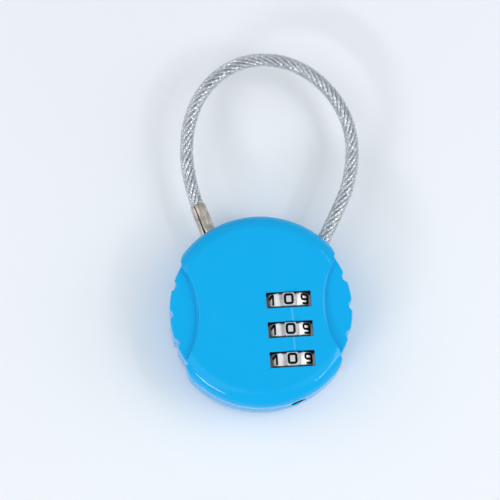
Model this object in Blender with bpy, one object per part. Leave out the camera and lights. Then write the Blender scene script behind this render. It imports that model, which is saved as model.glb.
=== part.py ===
"""Luggage combination padlock with a sheathed steel cable shackle.

Frame: metres, origin at the middle of the back cover's flat face, +Z out of the dial side,
+Y towards the shackle, +X to the right as one reads the dials. The lock lies on its back.
It is drawn at its opening code, with the bolt drawn back and the plug fully home.
"""

from math import asin, atan, cos, hypot, pi, radians, sin

import bmesh
import bpy
from mathutils import Vector

mm = 0.001

# ---- driving dimensions -------------------------------------------------------------------
BODY_R = 22.5 * mm
BODY_T = 13.5 * mm
PARTING_Z = 7.0 * mm
PARTING_GAP = 0.1 * mm
FACE_R = 19.2 * mm                  # the flat of each face ends here, where the shoulder starts
SHOULDER_H = 3.1 * mm
SHOULDER_STEPS = 5
FACE_BREAK = radians(18)            # angle at which the shoulder leaves the face
WALL = 1.6 * mm
FACE_WALL = 1.4 * mm
BACK_WALL = 1.2 * mm
SHELF_DROP = 1.0 * mm               # the cavity is this much shallower behind the recesses
BITE = 0.4 * mm                     # how far a rib or boss runs into the wall it stands on
BEYOND = 3.0 * mm                   # how far a cutter for the rim runs past it

GRIP_HALF_ANGLE = radians(33.5)     # of each finger grip, seen from the middle of the body
GRIP_R = 21.1 * mm
GRIP_NOTCH = 0.7 * mm
GRIP_NOTCH_PITCH = radians(18.5)
GRIP_NOTCH_HALF = radians(2.6)
RECESS_INNER_X = 14.5 * mm          # innermost point of the lens-shaped recess beside the grip
RECESS_DEPTH = 1.1 * mm
BACK_RECESS_DEPTH = 0.6 * mm

DIAL_X = 6.4 * mm
DIAL_Z = 7.9 * mm
DIAL_TOP_Y = 1.9 * mm
DIAL_PITCH = 6.95 * mm
DIAL_R = 6.4 * mm
DIAL_W = 3.3 * mm
DIAL_COUNT = 3
FIGURES = 10
WINDOW_W = 10.3 * mm
WINDOW_H = 3.65 * mm
HUMP_R = 6.0 * mm
HUMP_SUNK = 0.4 * mm                # foot of the hump below the face

SLEEVE_R = 3.0 * mm
SLEEVE_BORE_R = 2.35 * mm
SLEEVE_LOW = -2.9 * mm              # ends of the sleeve from the middle of its dial
SLEEVE_HIGH = 3.75 * mm
FLANGE_Y = 1.6 * mm
FLANGE_T = 0.8 * mm
FLANGE_BORE_R = 1.35 * mm
TOOTH_ROOT_R = 3.5 * mm
TOOTH_TIP_R = 4.1 * mm
TOOTH_Y = -1.5 * mm
TOOTH_W = 1.0 * mm
TOOTH_GAP = 0.25 * mm
DIAL_TOOTH_W = 1.3 * mm             # width of the toothed part of the dial's bore

SPINDLE_R = 1.15 * mm
FIN_T = 0.8 * mm
FIN_W = 1.0 * mm
FIN_R = 2.1 * mm
BOLT_TRAVEL = 2.2 * mm
COLLAR_R = 2.6 * mm
COLLAR_T = 0.6 * mm
COLLAR_Y = 9.85 * mm                # underside of the lower collar, bolt drawn back
NECK_R = 1.0 * mm
NECK_W = 1.8 * mm
SPINDLE_LOW = -16.0 * mm
SPINDLE_HIGH = 17.0 * mm

RESET_X = 7.6 * mm
RESET_HOLE_R = 1.6 * mm
PLUNGER_TOP = -15.2 * mm
PLUNGER_LOW = -18.2 * mm
PLUNGER_TIP = -20.6 * mm

PLUG_X = -10.9 * mm                 # where the plug's axis crosses the rim
PLUG_Y = 19.7 * mm
PLUG_LEAN = radians(18.2)           # outward lean of the plug's axis from +Y
FERRULE_R = 1.85 * mm
FERRULE_BORE_R = 1.4 * mm
FERRULE_OUT = 7.36 * mm             # length outside and inside the rim
FERRULE_IN = 1.2 * mm
FERRULE_SEAM = 0.45 * mm
PIN_R = 1.6 * mm
GROOVE_R = 0.8 * mm
GROOVE_DEPTH = 3.75 * mm            # groove's middle below the rim
GROOVE_W = 2.2 * mm
PIN_END = 12.0 * mm

LEVER_OFFSET = 4.0 * mm             # lever pin from the plug's axis
LEVER_ARM = 5.2 * mm                # lever pin to nose, along the plug's axis
LEVER_TIP_X = 4.5 * mm
LEVER_TIP_R = 0.6 * mm
LEVER_HUB_R = 1.9 * mm
LEVER_PIN_R = 0.8 * mm
ARM_FOOT = 0.5 * mm                 # where the long arm starts, and its half width there
ARM_HALF_W = 1.1 * mm
NOSE_REACH = 2.95 * mm
NOSE_W = 1.2 * mm

CABLE_X = 15.56 * mm                # where the fixed end of the cable crosses the rim
CABLE_Y = 16.22 * mm
CABLE_LEAN = radians(-28.6)
CABLE_Z = PARTING_Z
SHEATH_R = 1.6 * mm
SHEATH_WALL = 0.25 * mm
ROPE_R = 1.05 * mm
ANCHOR_R = 2.3 * mm
ANCHOR_NEAR = 2.8 * mm
ANCHOR_FAR = 7.3 * mm

# the cable's route in mm, from inside the ferrule, round the loop, into the anchor sleeve
ROUTE = [
    (-11.37, 21.13), (-12.30, 23.97), (-13.22, 26.75), (-14.35, 31.60), (-15.00, 36.50),
    (-14.95, 41.40), (-13.95, 47.00), (-11.60, 52.60), (-8.00, 57.00), (-3.50, 60.10),
    (1.40, 61.60), (6.40, 61.50), (11.20, 60.10), (15.50, 57.50), (19.20, 53.80),
    (22.00, 49.30), (23.70, 44.40), (24.20, 39.20), (23.60, 34.00), (22.20, 29.10),
    (20.20, 24.80), (17.95, 20.61), (15.56, 16.22), (13.65, 12.71), (11.93, 9.55),
]
ROUTE_STEP = 3.0 * mm

POST_R = 1.2 * mm
POST_BOSS_R = 2.0 * mm
POST_GAP = 0.1 * mm
POST_END_Z = 3.0 * mm
SOCKET_END_Z = 2.6 * mm
POSTS = [(-13.5 * mm, -6.5 * mm), (-1.5 * mm, -17.3 * mm), (-14.0 * mm, 5.5 * mm),
         (15.2 * mm, 5.6 * mm), (15.2 * mm, -6.4 * mm)]

SPRING_WIRE_R = 0.2 * mm
SPRING_MEAN_R = 1.95 * mm
SPRING_TURNS = 3.5
WASHER_T = 0.3 * mm
LEAF_X = -0.95 * mm                 # the leaf spring's outer side
LEAF_T = 0.25 * mm
LEAF_END = 2.0 * mm                 # how far it runs past the outer dials' middles
LEAF_HALF_H = 1.6 * mm
RIDGE_TIP_X = 0.3 * mm
RIDGE_HALF = 0.5 * mm
RIDGE_W = 2.4 * mm
LEAF_STOP_ABOVE = 0.8 * mm
LEAF_STOP_BELOW = 1.9 * mm
LEAF_STOP_W = 1.2 * mm
CLEAR = 0.3 * mm                    # gap left between pieces that touch
RIM_GAP = 0.2 * mm                  # round the plug and the cable
BEARING_GAP = 0.15 * mm             # round the sleeves and the spindle
PIN_GAP = 0.05 * mm                 # round the lever's pin
PLUG_MOUTH = 3.2 * mm               # depths of the bores below the rim
CABLE_BORE = 5.0 * mm
RESET_HOLE_END = 19.0 * mm
SLEEVE_BORE_BELOW = 3.2 * mm
SLEEVE_BORE_ABOVE = 4.0 * mm
SPINDLE_BORE = (15.0 * mm, 16.5 * mm)
PIN_HOLE_END = 0.6 * mm
HUB_STEP = 0.3 * mm
ROUND = 64                          # sides of a large round piece
SMALL_ROUND = 24

# ---- places worked out from them ----------------------------------------------------------
DIAL_Y = [DIAL_TOP_Y - k * DIAL_PITCH for k in range(DIAL_COUNT)]
DIAL_NAMES = ["top", "middle", "bottom"]
FRONT_IN = BODY_T - FACE_WALL
INWARD = Vector((sin(PLUG_LEAN), -cos(PLUG_LEAN), 0))
ACROSS = Vector((cos(PLUG_LEAN), sin(PLUG_LEAN), 0))
GROOVE_AT = Vector((PLUG_X, PLUG_Y, PARTING_Z)) + INWARD * GROOVE_DEPTH
LEVER_AT = GROOVE_AT + INWARD * LEVER_ARM + ACROSS * LEVER_OFFSET
LEVER_SWING = 2 * atan(BOLT_TRAVEL / 2 / (LEVER_TIP_X - LEVER_AT.x))
LEVER_LOW = 6.5 * mm
LEVER_HIGH = 8.1 * mm

# middle, thickness, left end and right end of each rib across the dial axis
RIBS = [
    (DIAL_Y[0] - DIAL_PITCH / 2, 1.8 * mm, -0.4 * mm, 13.2 * mm),
    (DIAL_Y[1] - DIAL_PITCH / 2, 1.8 * mm, -0.4 * mm, 13.2 * mm),
    (DIAL_Y[0] + 2.75 * mm, 1.0 * mm, -0.4 * mm, 13.2 * mm),
    (DIAL_Y[-1] - 2.4 * mm, 0.7 * mm, -0.4 * mm, 13.2 * mm),
    (15.75 * mm, 0.8 * mm, 3.2 * mm, 9.6 * mm),
]

for old in list(bpy.data.objects):
    bpy.data.objects.remove(old)


# ---- tools --------------------------------------------------------------------------------
def material(name, colour, roughness, metallic=0.0):
    made = bpy.data.materials.new(name)
    made.use_nodes = True
    shader = made.node_tree.nodes["Principled BSDF"]
    shader.inputs["Base Color"].default_value = (*colour, 1)
    shader.inputs["Roughness"].default_value = roughness
    shader.inputs["Metallic"].default_value = metallic
    return made


BLUE = material("blue_abs", (0.0, 0.43, 0.87), 0.25)
PLATED = material("plated_dial", (0.78, 0.77, 0.78), 0.2, 1.0)
STEEL = material("steel", (0.6, 0.6, 0.62), 0.35, 1.0)
BRASS = material("brass", (0.75, 0.58, 0.3), 0.35, 1.0)
ACETAL = material("acetal", (0.85, 0.85, 0.82), 0.5)
NICKEL = material("ferrule_nickel", (0.55, 0.5, 0.45), 0.35, 1.0)
ZINC_ROPE = material("zinc_rope", (0.6, 0.62, 0.65), 0.4, 1.0)
CLEAR_PVC = material("clear_pvc", (0.9, 0.92, 0.94), 0.15)


def finish(name, bm, paint=None, smooth=True):
    """Makes an object of a bmesh. With no paint it is a cutter or a blank for a Boolean."""
    bmesh.ops.remove_doubles(bm, verts=bm.verts, dist=1e-7)
    bmesh.ops.recalc_face_normals(bm, faces=bm.faces)
    mesh = bpy.data.meshes.new(name)
    bm.to_mesh(mesh)
    bm.free()
    if smooth:
        mesh.shade_smooth()
        mesh.set_sharp_from_angle(angle=radians(35))
    made = bpy.data.objects.new(name, mesh)
    bpy.context.scene.collection.objects.link(made)
    if paint:
        mesh.materials.append(paint)
    else:
        made.hide_render = True
        made.display_type = "WIRE"
    return made


def turned(name, profile, axis="Z", sides=SMALL_ROUND, paint=None):
    """A profile of (radius, height) points spun round an axis through the origin."""
    bm = bmesh.new()
    up = 1 if axis == "Y" else 2
    verts = []
    for radius, height in profile:
        place = [radius, 0, 0]
        place[up] = height
        verts.append(bm.verts.new(place))
    pairs = zip(verts, verts[1:] + verts[:1])
    edges = [bm.edges.new((a, b)) for a, b in pairs if a.co.x or b.co.x]
    turn = (0, 1, 0) if axis == "Y" else (0, 0, 1)
    bmesh.ops.spin(bm, geom=verts + edges, cent=(0, 0, 0), axis=turn, angle=2 * pi,
                   steps=sides, use_merge=True)
    return finish(name, bm, paint)


def rod(name, radius, low, high, axis="Z", sides=SMALL_ROUND, paint=None):
    profile = [(0, low), (radius, low), (radius, high), (0, high)]
    return turned(name, profile, axis, sides, paint)


def prism(name, outline, low, high, axis="Z", paint=None):
    """An outline of (x, y) points pulled along Z, or of (x, z) points pulled along Y."""
    bm = bmesh.new()
    if axis == "Z":
        verts = [bm.verts.new((x, y, low)) for x, y in outline]
        pull = (0, 0, high - low)
    else:
        verts = [bm.verts.new((x, low, z)) for x, z in outline]
        pull = (0, high - low, 0)
    face = bm.faces.new(verts)
    more = bmesh.ops.extrude_face_region(bm, geom=[face])["geom"]
    moved = [v for v in more if isinstance(v, bmesh.types.BMVert)]
    bmesh.ops.translate(bm, vec=pull, verts=moved)
    return finish(name, bm, paint)


def box(name, low, high, paint=None):
    outline = [(low[0], low[1]), (high[0], low[1]), (high[0], high[1]), (low[0], high[1])]
    return prism(name, outline, low[2], high[2], "Z", paint)


def arc(middle, radius, start, end, steps):
    """Points on a circle from one angle to the other."""
    turn = (end - start) / steps
    return [(middle[0] + radius * cos(start + turn * n), middle[1] + radius * sin(start + turn * n))
            for n in range(steps + 1)]


def change(target, tool, operation):
    """A Boolean step. The EXACT solver leaves open edges where the covers' many cuts meet."""
    step = target.modifiers.new(tool.name, "BOOLEAN")
    step.operation = operation
    step.solver = "MANIFOLD" if target.name.endswith("cover") else "EXACT"
    step.object = tool


def cut(target, *tools):
    for tool in tools:
        change(target, tool, "DIFFERENCE")


def add(target, *tools):
    for tool in tools:
        change(target, tool, "UNION")


def place(made, parent=None, at=(0, 0, 0), turn=0.0):
    made.parent = parent
    made.location = at
    made.rotation_euler = (0, 0, turn)
    return made


def guide(name, at, turn=0.0):
    """An empty on an axis that pieces are placed on."""
    made = bpy.data.objects.new(name, None)
    bpy.context.scene.collection.objects.link(made)
    return place(made, None, at, turn)


PLUG_AXIS = guide("plug_axis", (PLUG_X, PLUG_Y, PARTING_Z), PLUG_LEAN)
CABLE_EXIT = guide("cable_exit", (CABLE_X, CABLE_Y, CABLE_Z), CABLE_LEAN)
DIAL_AXIS = guide("dial_axis", (DIAL_X, 0, DIAL_Z))

# each cross wall stands across its axis: left and right of it, and nearest and farthest depth
CROSS_WALLS = [
    ("plug_guide", PLUG_AXIS, -2.9 * mm, 1.95 * mm, 10.2 * mm, 11.0 * mm),
    ("plug_stop", PLUG_AXIS, -2.9 * mm, 2.9 * mm, 12.6 * mm, 13.6 * mm),
    ("anchor_stop", CABLE_EXIT, -2.6 * mm, 2.6 * mm, 8.0 * mm, 8.8 * mm),
]


# ---- covers -------------------------------------------------------------------------------
def grip_outline(side):
    """The region outside the finger grip: a lobed inner edge and a plain arc beyond the rim."""
    points = []
    steps = 50
    for n in range(steps + 1):
        angle = GRIP_HALF_ANGLE * (2 * n / steps - 1)
        radius = GRIP_R
        for notch in (-1, 0, 1):
            off = abs(angle - notch * GRIP_NOTCH_PITCH)
            if off < GRIP_NOTCH_HALF:
                radius -= GRIP_NOTCH * (0.5 + 0.5 * cos(pi * off / GRIP_NOTCH_HALF))
        points.append((side * radius * cos(angle), radius * sin(angle)))
    beyond = BODY_R + 2 * mm
    reach = GRIP_HALF_ANGLE + radians(2.5)
    outer = arc((0, 0), beyond, reach, -reach, 8)
    return points + [(side * x, y) for x, y in outer]


def lens_arc(inner_x, steps=16):
    """The recess's inner edge, an arc through both ends of the grip."""
    corner_x = BODY_R * cos(GRIP_HALF_ANGLE)
    corner_y = BODY_R * sin(GRIP_HALF_ANGLE)
    sagitta = corner_x - inner_x
    radius = (corner_y ** 2 + sagitta ** 2) / (2 * sagitta)
    half = pi - GRIP_HALF_ANGLE * 1.06
    return arc((inner_x + radius, 0), radius, half, 2 * pi - half, steps)


def lens_outline(side):
    inner = lens_arc(RECESS_INNER_X)
    outer = arc((0, 0), BODY_R + 2 * mm, -GRIP_HALF_ANGLE, GRIP_HALF_ANGLE, 8)
    return [(side * x, y) for x, y in inner + outer]


def inside_outline(middle_only=False):
    """The cavity's outline: the rim less its wall, pulled in behind the grips."""
    points = []
    for n in range(ROUND):
        angle = 2 * pi * n / ROUND
        radius = BODY_R - WALL
        aside = min(abs(angle), abs(angle - pi), abs(angle - 2 * pi))
        if aside < GRIP_HALF_ANGLE + radians(3):
            radius = GRIP_R - GRIP_NOTCH - WALL
        x = radius * cos(angle)
        y = radius * sin(angle)
        if middle_only:
            x = max(-RECESS_INNER_X + WALL, min(RECESS_INNER_X - WALL, x))
        points.append((x, y))
    return points


class Half:
    """The heights of one cover. Its sign points from the parting face to its own face."""

    def __init__(self, name, face_z, sign, face_wall, recess):
        self.name = name
        self.sign = sign
        self.face_z = face_z
        self.wall_z = PARTING_Z + sign * PARTING_GAP / 2
        self.recess_z = face_z - sign * recess
        self.deep_z = face_z - sign * face_wall
        self.shelf_z = self.deep_z - sign * SHELF_DROP
        self.outside_z = face_z + sign * mm
        self.past_z = self.wall_z - sign * mm


def span(a, b):
    return min(a, b), max(a, b)


def blank(half):
    """A solid cover: flat face, a break, a rounded shoulder, a straight wall."""
    wide = BODY_R - FACE_R
    points = [(0, half.face_z), (FACE_R, half.face_z)]
    for n in range(1, SHOULDER_STEPS + 1):
        turn = FACE_BREAK + (pi / 2 - FACE_BREAK) * n / SHOULDER_STEPS
        across = (sin(turn) - sin(FACE_BREAK)) / (1 - sin(FACE_BREAK))
        down = 1 - cos(turn) / cos(FACE_BREAK)
        points.append((FACE_R + wide * across, half.face_z - half.sign * SHOULDER_H * down))
    points += [(BODY_R, half.wall_z), (0, half.wall_z)]
    return turned(half.name, points, sides=ROUND, paint=BLUE)


def hump(shell):
    """The low round ridge that the bars between the windows are cut from."""
    foot = BODY_T - HUMP_SUNK - DIAL_Z
    tilt = asin(foot / HUMP_R)
    outline = arc((DIAL_X, DIAL_Z), HUMP_R, tilt, pi - tilt, 12)
    inset = WINDOW_H / 3
    add(shell, prism("hump", outline, DIAL_Y[-1] + inset, DIAL_Y[0] - inset, "Y"))


def grips_and_cavity(shell, half):
    for side, word in ((-1, "left"), (1, "right")):
        grip = prism(f"{half.name}_{word}_grip", grip_outline(side), -mm, BODY_T + mm)
        recess = prism(f"{half.name}_{word}_recess", lens_outline(side),
                       *span(half.recess_z, half.outside_z))
        cut(shell, grip, recess)
    shallow = prism(f"{half.name}_cavity", inside_outline(), *span(half.past_z, half.shelf_z))
    deep = prism(f"{half.name}_deep_cavity", inside_outline(True),
                 *span(half.past_z, half.deep_z))
    cut(shell, shallow, deep)


def ribs(shell, half):
    """Ribs across the dial axis that carry the sleeves and the upper end of the spindle."""
    low_z, high_z = span(half.wall_z, half.deep_z + half.sign * BITE)
    for n, (y, thick, left, right) in enumerate(RIBS):
        low = (left, y - thick / 2, low_z)
        high = (right, y + thick / 2, high_z)
        add(shell, box(f"{half.name}_rib_{n}", low, high))


def posts(shell, half):
    """The front cover's posts drop into sockets in the back cover's bosses."""
    for n, (x, y) in enumerate(POSTS):
        ceiling = half.shelf_z if abs(x) > FACE_R / 2 else half.deep_z
        heights = span(half.wall_z, ceiling + half.sign * BITE)
        boss = rod(f"{half.name}_boss_{n}", POST_BOSS_R, *heights, sides=16)
        add(shell, place(boss, at=(x, y, 0)))
        if half.sign > 0:
            post = rod(f"post_{n}", POST_R, POST_END_Z, half.wall_z + mm, sides=12)
            add(shell, place(post, at=(x, y, 0)))
        else:
            socket = rod(f"socket_{n}", POST_R + POST_GAP, SOCKET_END_Z, half.past_z, sides=12)
            cut(shell, place(socket, at=(x, y, 0)))


def lever_seat(shell, half):
    """A boss beside the lever's hub, with a blind hole for the end of the lever's pin."""
    hub_z = LEVER_HIGH if half.sign > 0 else LEVER_LOW
    top_z = hub_z + half.sign * (HUB_STEP + CLEAR)
    heights = span(top_z, half.deep_z + half.sign * BITE)
    depths = span(top_z - half.sign * mm, half.deep_z - half.sign * PIN_HOLE_END)
    boss = rod(f"{half.name}_lever_boss", LEVER_HUB_R, *heights, sides=16)
    hole = rod(f"{half.name}_lever_hole", LEVER_PIN_R + PIN_GAP, *depths, sides=16)
    add(shell, place(boss, at=LEVER_AT.xy.to_3d()))
    cut(shell, place(hole, at=LEVER_AT.xy.to_3d()))


def cross_walls(shell, half):
    """Walls that guide the plug, stop it, and back up the cable's anchor."""
    low_z, high_z = span(half.wall_z - PARTING_Z, half.deep_z + half.sign * BITE - PARTING_Z)
    for word, axis, left, right, near, far in CROSS_WALLS:
        wall = box(f"{half.name}_{word}", (left, -far, low_z), (right, -near, high_z))
        add(shell, place(wall, axis))


def leaf_stops(shell, half):
    """Blocks on the back cover that the leaf spring's ends lean against."""
    for n, y in enumerate((DIAL_Y[0] + LEAF_STOP_ABOVE, DIAL_Y[-1] - LEAF_STOP_BELOW)):
        low = (-2.0 * mm, y, half.deep_z - BITE)
        high = (LEAF_X - CLEAR, y + LEAF_STOP_W, half.wall_z)
        add(shell, box(f"leaf_stop_{n}", low, high))


def way_in(word, half_width, low_y, high_y):
    """Opens the lower half of a round bore, so that what it carries drops in from behind."""
    low = (DIAL_X - half_width, low_y, PARTING_Z - mm)
    return box(word, low, (DIAL_X + half_width, high_y, DIAL_Z))


def dial_bores(shell, half):
    """Clearance for the sleeves and the spindle, cut last so that it passes every rib."""
    sleeve = SLEEVE_R + BEARING_GAP
    end = SPINDLE_R + BEARING_GAP
    low = DIAL_Y[-1] - SLEEVE_BORE_BELOW
    high = DIAL_Y[0] + SLEEVE_BORE_ABOVE
    bore = rod(f"{half.name}_sleeve_bore", sleeve, low, high, "Y")
    top_bore = rod(f"{half.name}_spindle_bore", end, *SPINDLE_BORE, "Y", 16)
    cut(shell, place(bore, DIAL_AXIS), place(top_bore, DIAL_AXIS))
    if half.sign > 0:
        cut(shell, way_in("sleeve_way_in", sleeve, low, high),
            way_in("spindle_way_in", end, *SPINDLE_BORE))


def windows(shell, half):
    for word, y in zip(DIAL_NAMES, DIAL_Y):
        low = (DIAL_X - WINDOW_W / 2, y - WINDOW_H / 2, half.deep_z - 2 * mm)
        high = (DIAL_X + WINDOW_W / 2, y + WINDOW_H / 2, half.face_z + 2 * mm)
        cut(shell, box(f"{word}_window", low, high))


def rim_bores(shell, half):
    """Ways through the rim for the plug, the cable and the reset tool, and the anchor's seat."""
    mouth = rod(f"{half.name}_plug_mouth", FERRULE_R + RIM_GAP, -PLUG_MOUTH, BEYOND, "Y")
    pin = rod(f"{half.name}_pin_bore", PIN_R + RIM_GAP, -PIN_END, -PLUG_MOUTH + BITE, "Y")
    cut(shell, place(mouth, PLUG_AXIS), place(pin, PLUG_AXIS))
    cable_bore = rod(f"{half.name}_cable_bore", SHEATH_R + RIM_GAP, -CABLE_BORE, BEYOND, "Y")
    seat = rod(f"{half.name}_anchor_seat", ANCHOR_R + RIM_GAP, -ANCHOR_FAR - CLEAR,
               -ANCHOR_NEAR + CLEAR, "Y")
    cut(shell, place(cable_bore, CABLE_EXIT), place(seat, CABLE_EXIT))
    reset = rod(f"{half.name}_reset_hole", RESET_HOLE_R, -BODY_R, -RESET_HOLE_END, "Y")
    cut(shell, place(reset, at=(RESET_X, 0, DIAL_Z)))


def cover(half):
    shell = blank(half)
    if half.sign > 0:
        hump(shell)
    grips_and_cavity(shell, half)
    ribs(shell, half)
    posts(shell, half)
    lever_seat(shell, half)
    cross_walls(shell, half)
    if half.sign < 0:
        leaf_stops(shell, half)
    dial_bores(shell, half)
    if half.sign > 0:
        windows(shell, half)
    rim_bores(shell, half)


# ---- dials and code sleeves ---------------------------------------------------------------
def toothed(tip, root, half_tip, half_root):
    """An outline with one tooth for each figure, as (x, z) points."""
    points = []
    pitch = 2 * pi / FIGURES
    for n in range(FIGURES):
        middle = -pi / 2 + n * pitch
        for radius, off in ((root, -half_root), (tip, -half_tip), (tip, half_tip),
                            (root, half_root)):
            points.append((radius * cos(middle + off), radius * sin(middle + off)))
    return points


def dial_mesh():
    """Ten pads with a groove between each two, and a bore that is toothed at its lower end."""
    pitch = 2 * pi / FIGURES
    outline = []
    for n in range(FIGURES):
        middle = pi / 2 + n * pitch
        for radius, off in ((DIAL_R - 0.1 * mm, -radians(12.5)), (DIAL_R, 0.0),
                            (DIAL_R - 0.1 * mm, radians(12.5)), (DIAL_R - 0.75 * mm, pitch / 2)):
            outline.append((radius * cos(middle + off), radius * sin(middle + off)))
    wheel = prism("dial_blank", outline, -DIAL_W / 2, DIAL_W / 2, "Y")
    plain = rod("dial_bore", TOOTH_TIP_R + 0.35 * mm, -DIAL_W / 2 + DIAL_TOOTH_W, DIAL_W, "Y")
    gap_angle = TOOTH_GAP / TOOTH_TIP_R
    spaces = toothed(TOOTH_TIP_R + TOOTH_GAP, TOOTH_ROOT_R + TOOTH_GAP,
                     radians(6) + gap_angle, radians(8) + gap_angle)
    mesh_bore = prism("dial_tooth_bore", spaces, -DIAL_W, DIAL_W, "Y")
    cut(wheel, plain, mesh_bore)
    return wheel


def sleeve_mesh():
    """A tube with outside teeth and an inner flange, through which one notch is cut."""
    tube = rod("sleeve_blank", SLEEVE_R, SLEEVE_LOW, SLEEVE_HIGH, "Y")
    teeth = prism("sleeve_teeth", toothed(TOOTH_TIP_R, TOOTH_ROOT_R, radians(6), radians(8)),
                  TOOTH_Y, TOOTH_Y + TOOTH_W, "Y")
    low_bore = rod("sleeve_low_bore", SLEEVE_BORE_R, SLEEVE_LOW - mm, FLANGE_Y - FLANGE_T / 2, "Y")
    high_bore = rod("sleeve_high_bore", SLEEVE_BORE_R, FLANGE_Y + FLANGE_T / 2,
                    SLEEVE_HIGH + mm, "Y")
    through = rod("sleeve_through", FLANGE_BORE_R, FLANGE_Y - mm, FLANGE_Y + mm, "Y")
    half = FIN_W / 2 + CLEAR
    notch = box("sleeve_notch", (-half, FLANGE_Y - mm, -SLEEVE_BORE_R + 0.02 * mm),
                (half, FLANGE_Y + mm, 0))
    add(tube, teeth)
    cut(tube, low_bore, high_bore, through, notch)
    return tube


def copies(blank, names, heights, paint):
    """The evaluated blank as one object for each dial, all sharing its mesh."""
    seen = blank.evaluated_get(bpy.context.evaluated_depsgraph_get())
    mesh = bpy.data.meshes.new_from_object(seen)
    mesh.materials.clear()
    mesh.materials.append(paint)
    for name, y in zip(names, heights):
        made = bpy.data.objects.new(name, mesh)
        bpy.context.scene.collection.objects.link(made)
        place(made, DIAL_AXIS, (0, y, 0))
    blank.modifiers.clear()


def dials_and_sleeves():
    copies(dial_mesh(), [f"dial_wheel_{word}" for word in DIAL_NAMES], DIAL_Y, PLATED)
    copies(sleeve_mesh(), [f"code_sleeve_{word}" for word in DIAL_NAMES], DIAL_Y, ACETAL)


# ---- spindle, springs, reset --------------------------------------------------------------
def spindle():
    """Turned rod with two collars at its upper end and one fin for each sleeve."""
    collar_top = COLLAR_Y + COLLAR_T
    second = collar_top + NECK_W
    profile = [(0, SPINDLE_LOW), (SPINDLE_R, SPINDLE_LOW), (SPINDLE_R, COLLAR_Y),
               (COLLAR_R, COLLAR_Y), (COLLAR_R, collar_top), (NECK_R, collar_top),
               (NECK_R, second), (COLLAR_R, second), (COLLAR_R, second + COLLAR_T),
               (SPINDLE_R, second + COLLAR_T), (SPINDLE_R, SPINDLE_HIGH), (0, SPINDLE_HIGH)]
    made = turned("spindle", profile, "Y", SMALL_ROUND, STEEL)
    for word, y in zip(DIAL_NAMES, DIAL_Y):
        middle = y + FLANGE_Y - BOLT_TRAVEL / 2
        fin = box(f"{word}_fin", (-FIN_W / 2, middle - FIN_T / 2, -FIN_R),
                  (FIN_W / 2, middle + FIN_T / 2, -SPINDLE_R / 2))
        add(made, place(fin, DIAL_AXIS))
    place(made, DIAL_AXIS)


def lock_spring():
    """Compression coil round the spindle, from the washer to the lower collar."""
    low = DIAL_Y[0] + SLEEVE_HIGH + 2 * CLEAR + WASHER_T + SPRING_WIRE_R
    high = COLLAR_Y - CLEAR + SPRING_WIRE_R / 4 - SPRING_WIRE_R
    steps = int(SPRING_TURNS * 12)
    curve = bpy.data.curves.new("lock_spring", "CURVE")
    curve.dimensions = "3D"
    curve.bevel_depth = SPRING_WIRE_R
    curve.bevel_resolution = 1
    curve.use_fill_caps = True
    line = curve.splines.new("POLY")
    line.points.add(steps)
    for n, point in enumerate(line.points):
        turn = 2 * pi * n / 12
        y = low + (high - low) * n / steps
        point.co = (SPRING_MEAN_R * cos(turn), y, SPRING_MEAN_R * sin(turn), 1)
    curve.materials.append(STEEL)
    made = bpy.data.objects.new("lock_spring", curve)
    bpy.context.scene.collection.objects.link(made)
    place(made, DIAL_AXIS)


def spring_washer():
    low = DIAL_Y[0] + SLEEVE_HIGH + CLEAR
    profile = [(1.45 * mm, low), (2.8 * mm, low), (2.8 * mm, low + WASHER_T),
               (1.45 * mm, low + WASHER_T)]
    place(turned("spring_washer", profile, "Y", SMALL_ROUND, STEEL), DIAL_AXIS)


def reset_plunger():
    """Cup under the bottom sleeve, with a stem set off its axis behind the hole in the rim."""
    floor = PLUNGER_LOW + 0.8 * mm
    profile = [(0, PLUNGER_LOW), (SLEEVE_R, PLUNGER_LOW), (SLEEVE_R, PLUNGER_TOP),
               (2.0 * mm, PLUNGER_TOP), (2.0 * mm, floor), (0, floor)]
    made = turned("reset_plunger", profile, "Y", SMALL_ROUND, STEEL)
    stem = rod("reset_stem", 1.2 * mm, PLUNGER_TIP, PLUNGER_LOW + 0.4 * mm, "Y", 16)
    add(made, place(stem, at=(RESET_X, 0, DIAL_Z)))
    place(made, DIAL_AXIS)


def detent_spring():
    """Leaf beside the dials, with a ridge that rests in one groove of each."""
    made = box("detent_spring", (LEAF_X, DIAL_Y[-1] - LEAF_END, -LEAF_HALF_H),
               (LEAF_X + LEAF_T, DIAL_Y[0] + LEAF_END, LEAF_HALF_H), BRASS)
    foot_x = LEAF_X + LEAF_T / 2
    ridge = [(foot_x, -RIDGE_HALF), (RIDGE_TIP_X, 0.0), (foot_x, RIDGE_HALF)]
    for word, y in zip(DIAL_NAMES, DIAL_Y):
        wedge = prism(f"{word}_ridge", ridge, y - RIDGE_W / 2, y + RIDGE_W / 2, "Y")
        add(made, place(wedge, at=(0, 0, DIAL_Z)))
    place(made, at=(0, 0, DIAL_Z))


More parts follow.
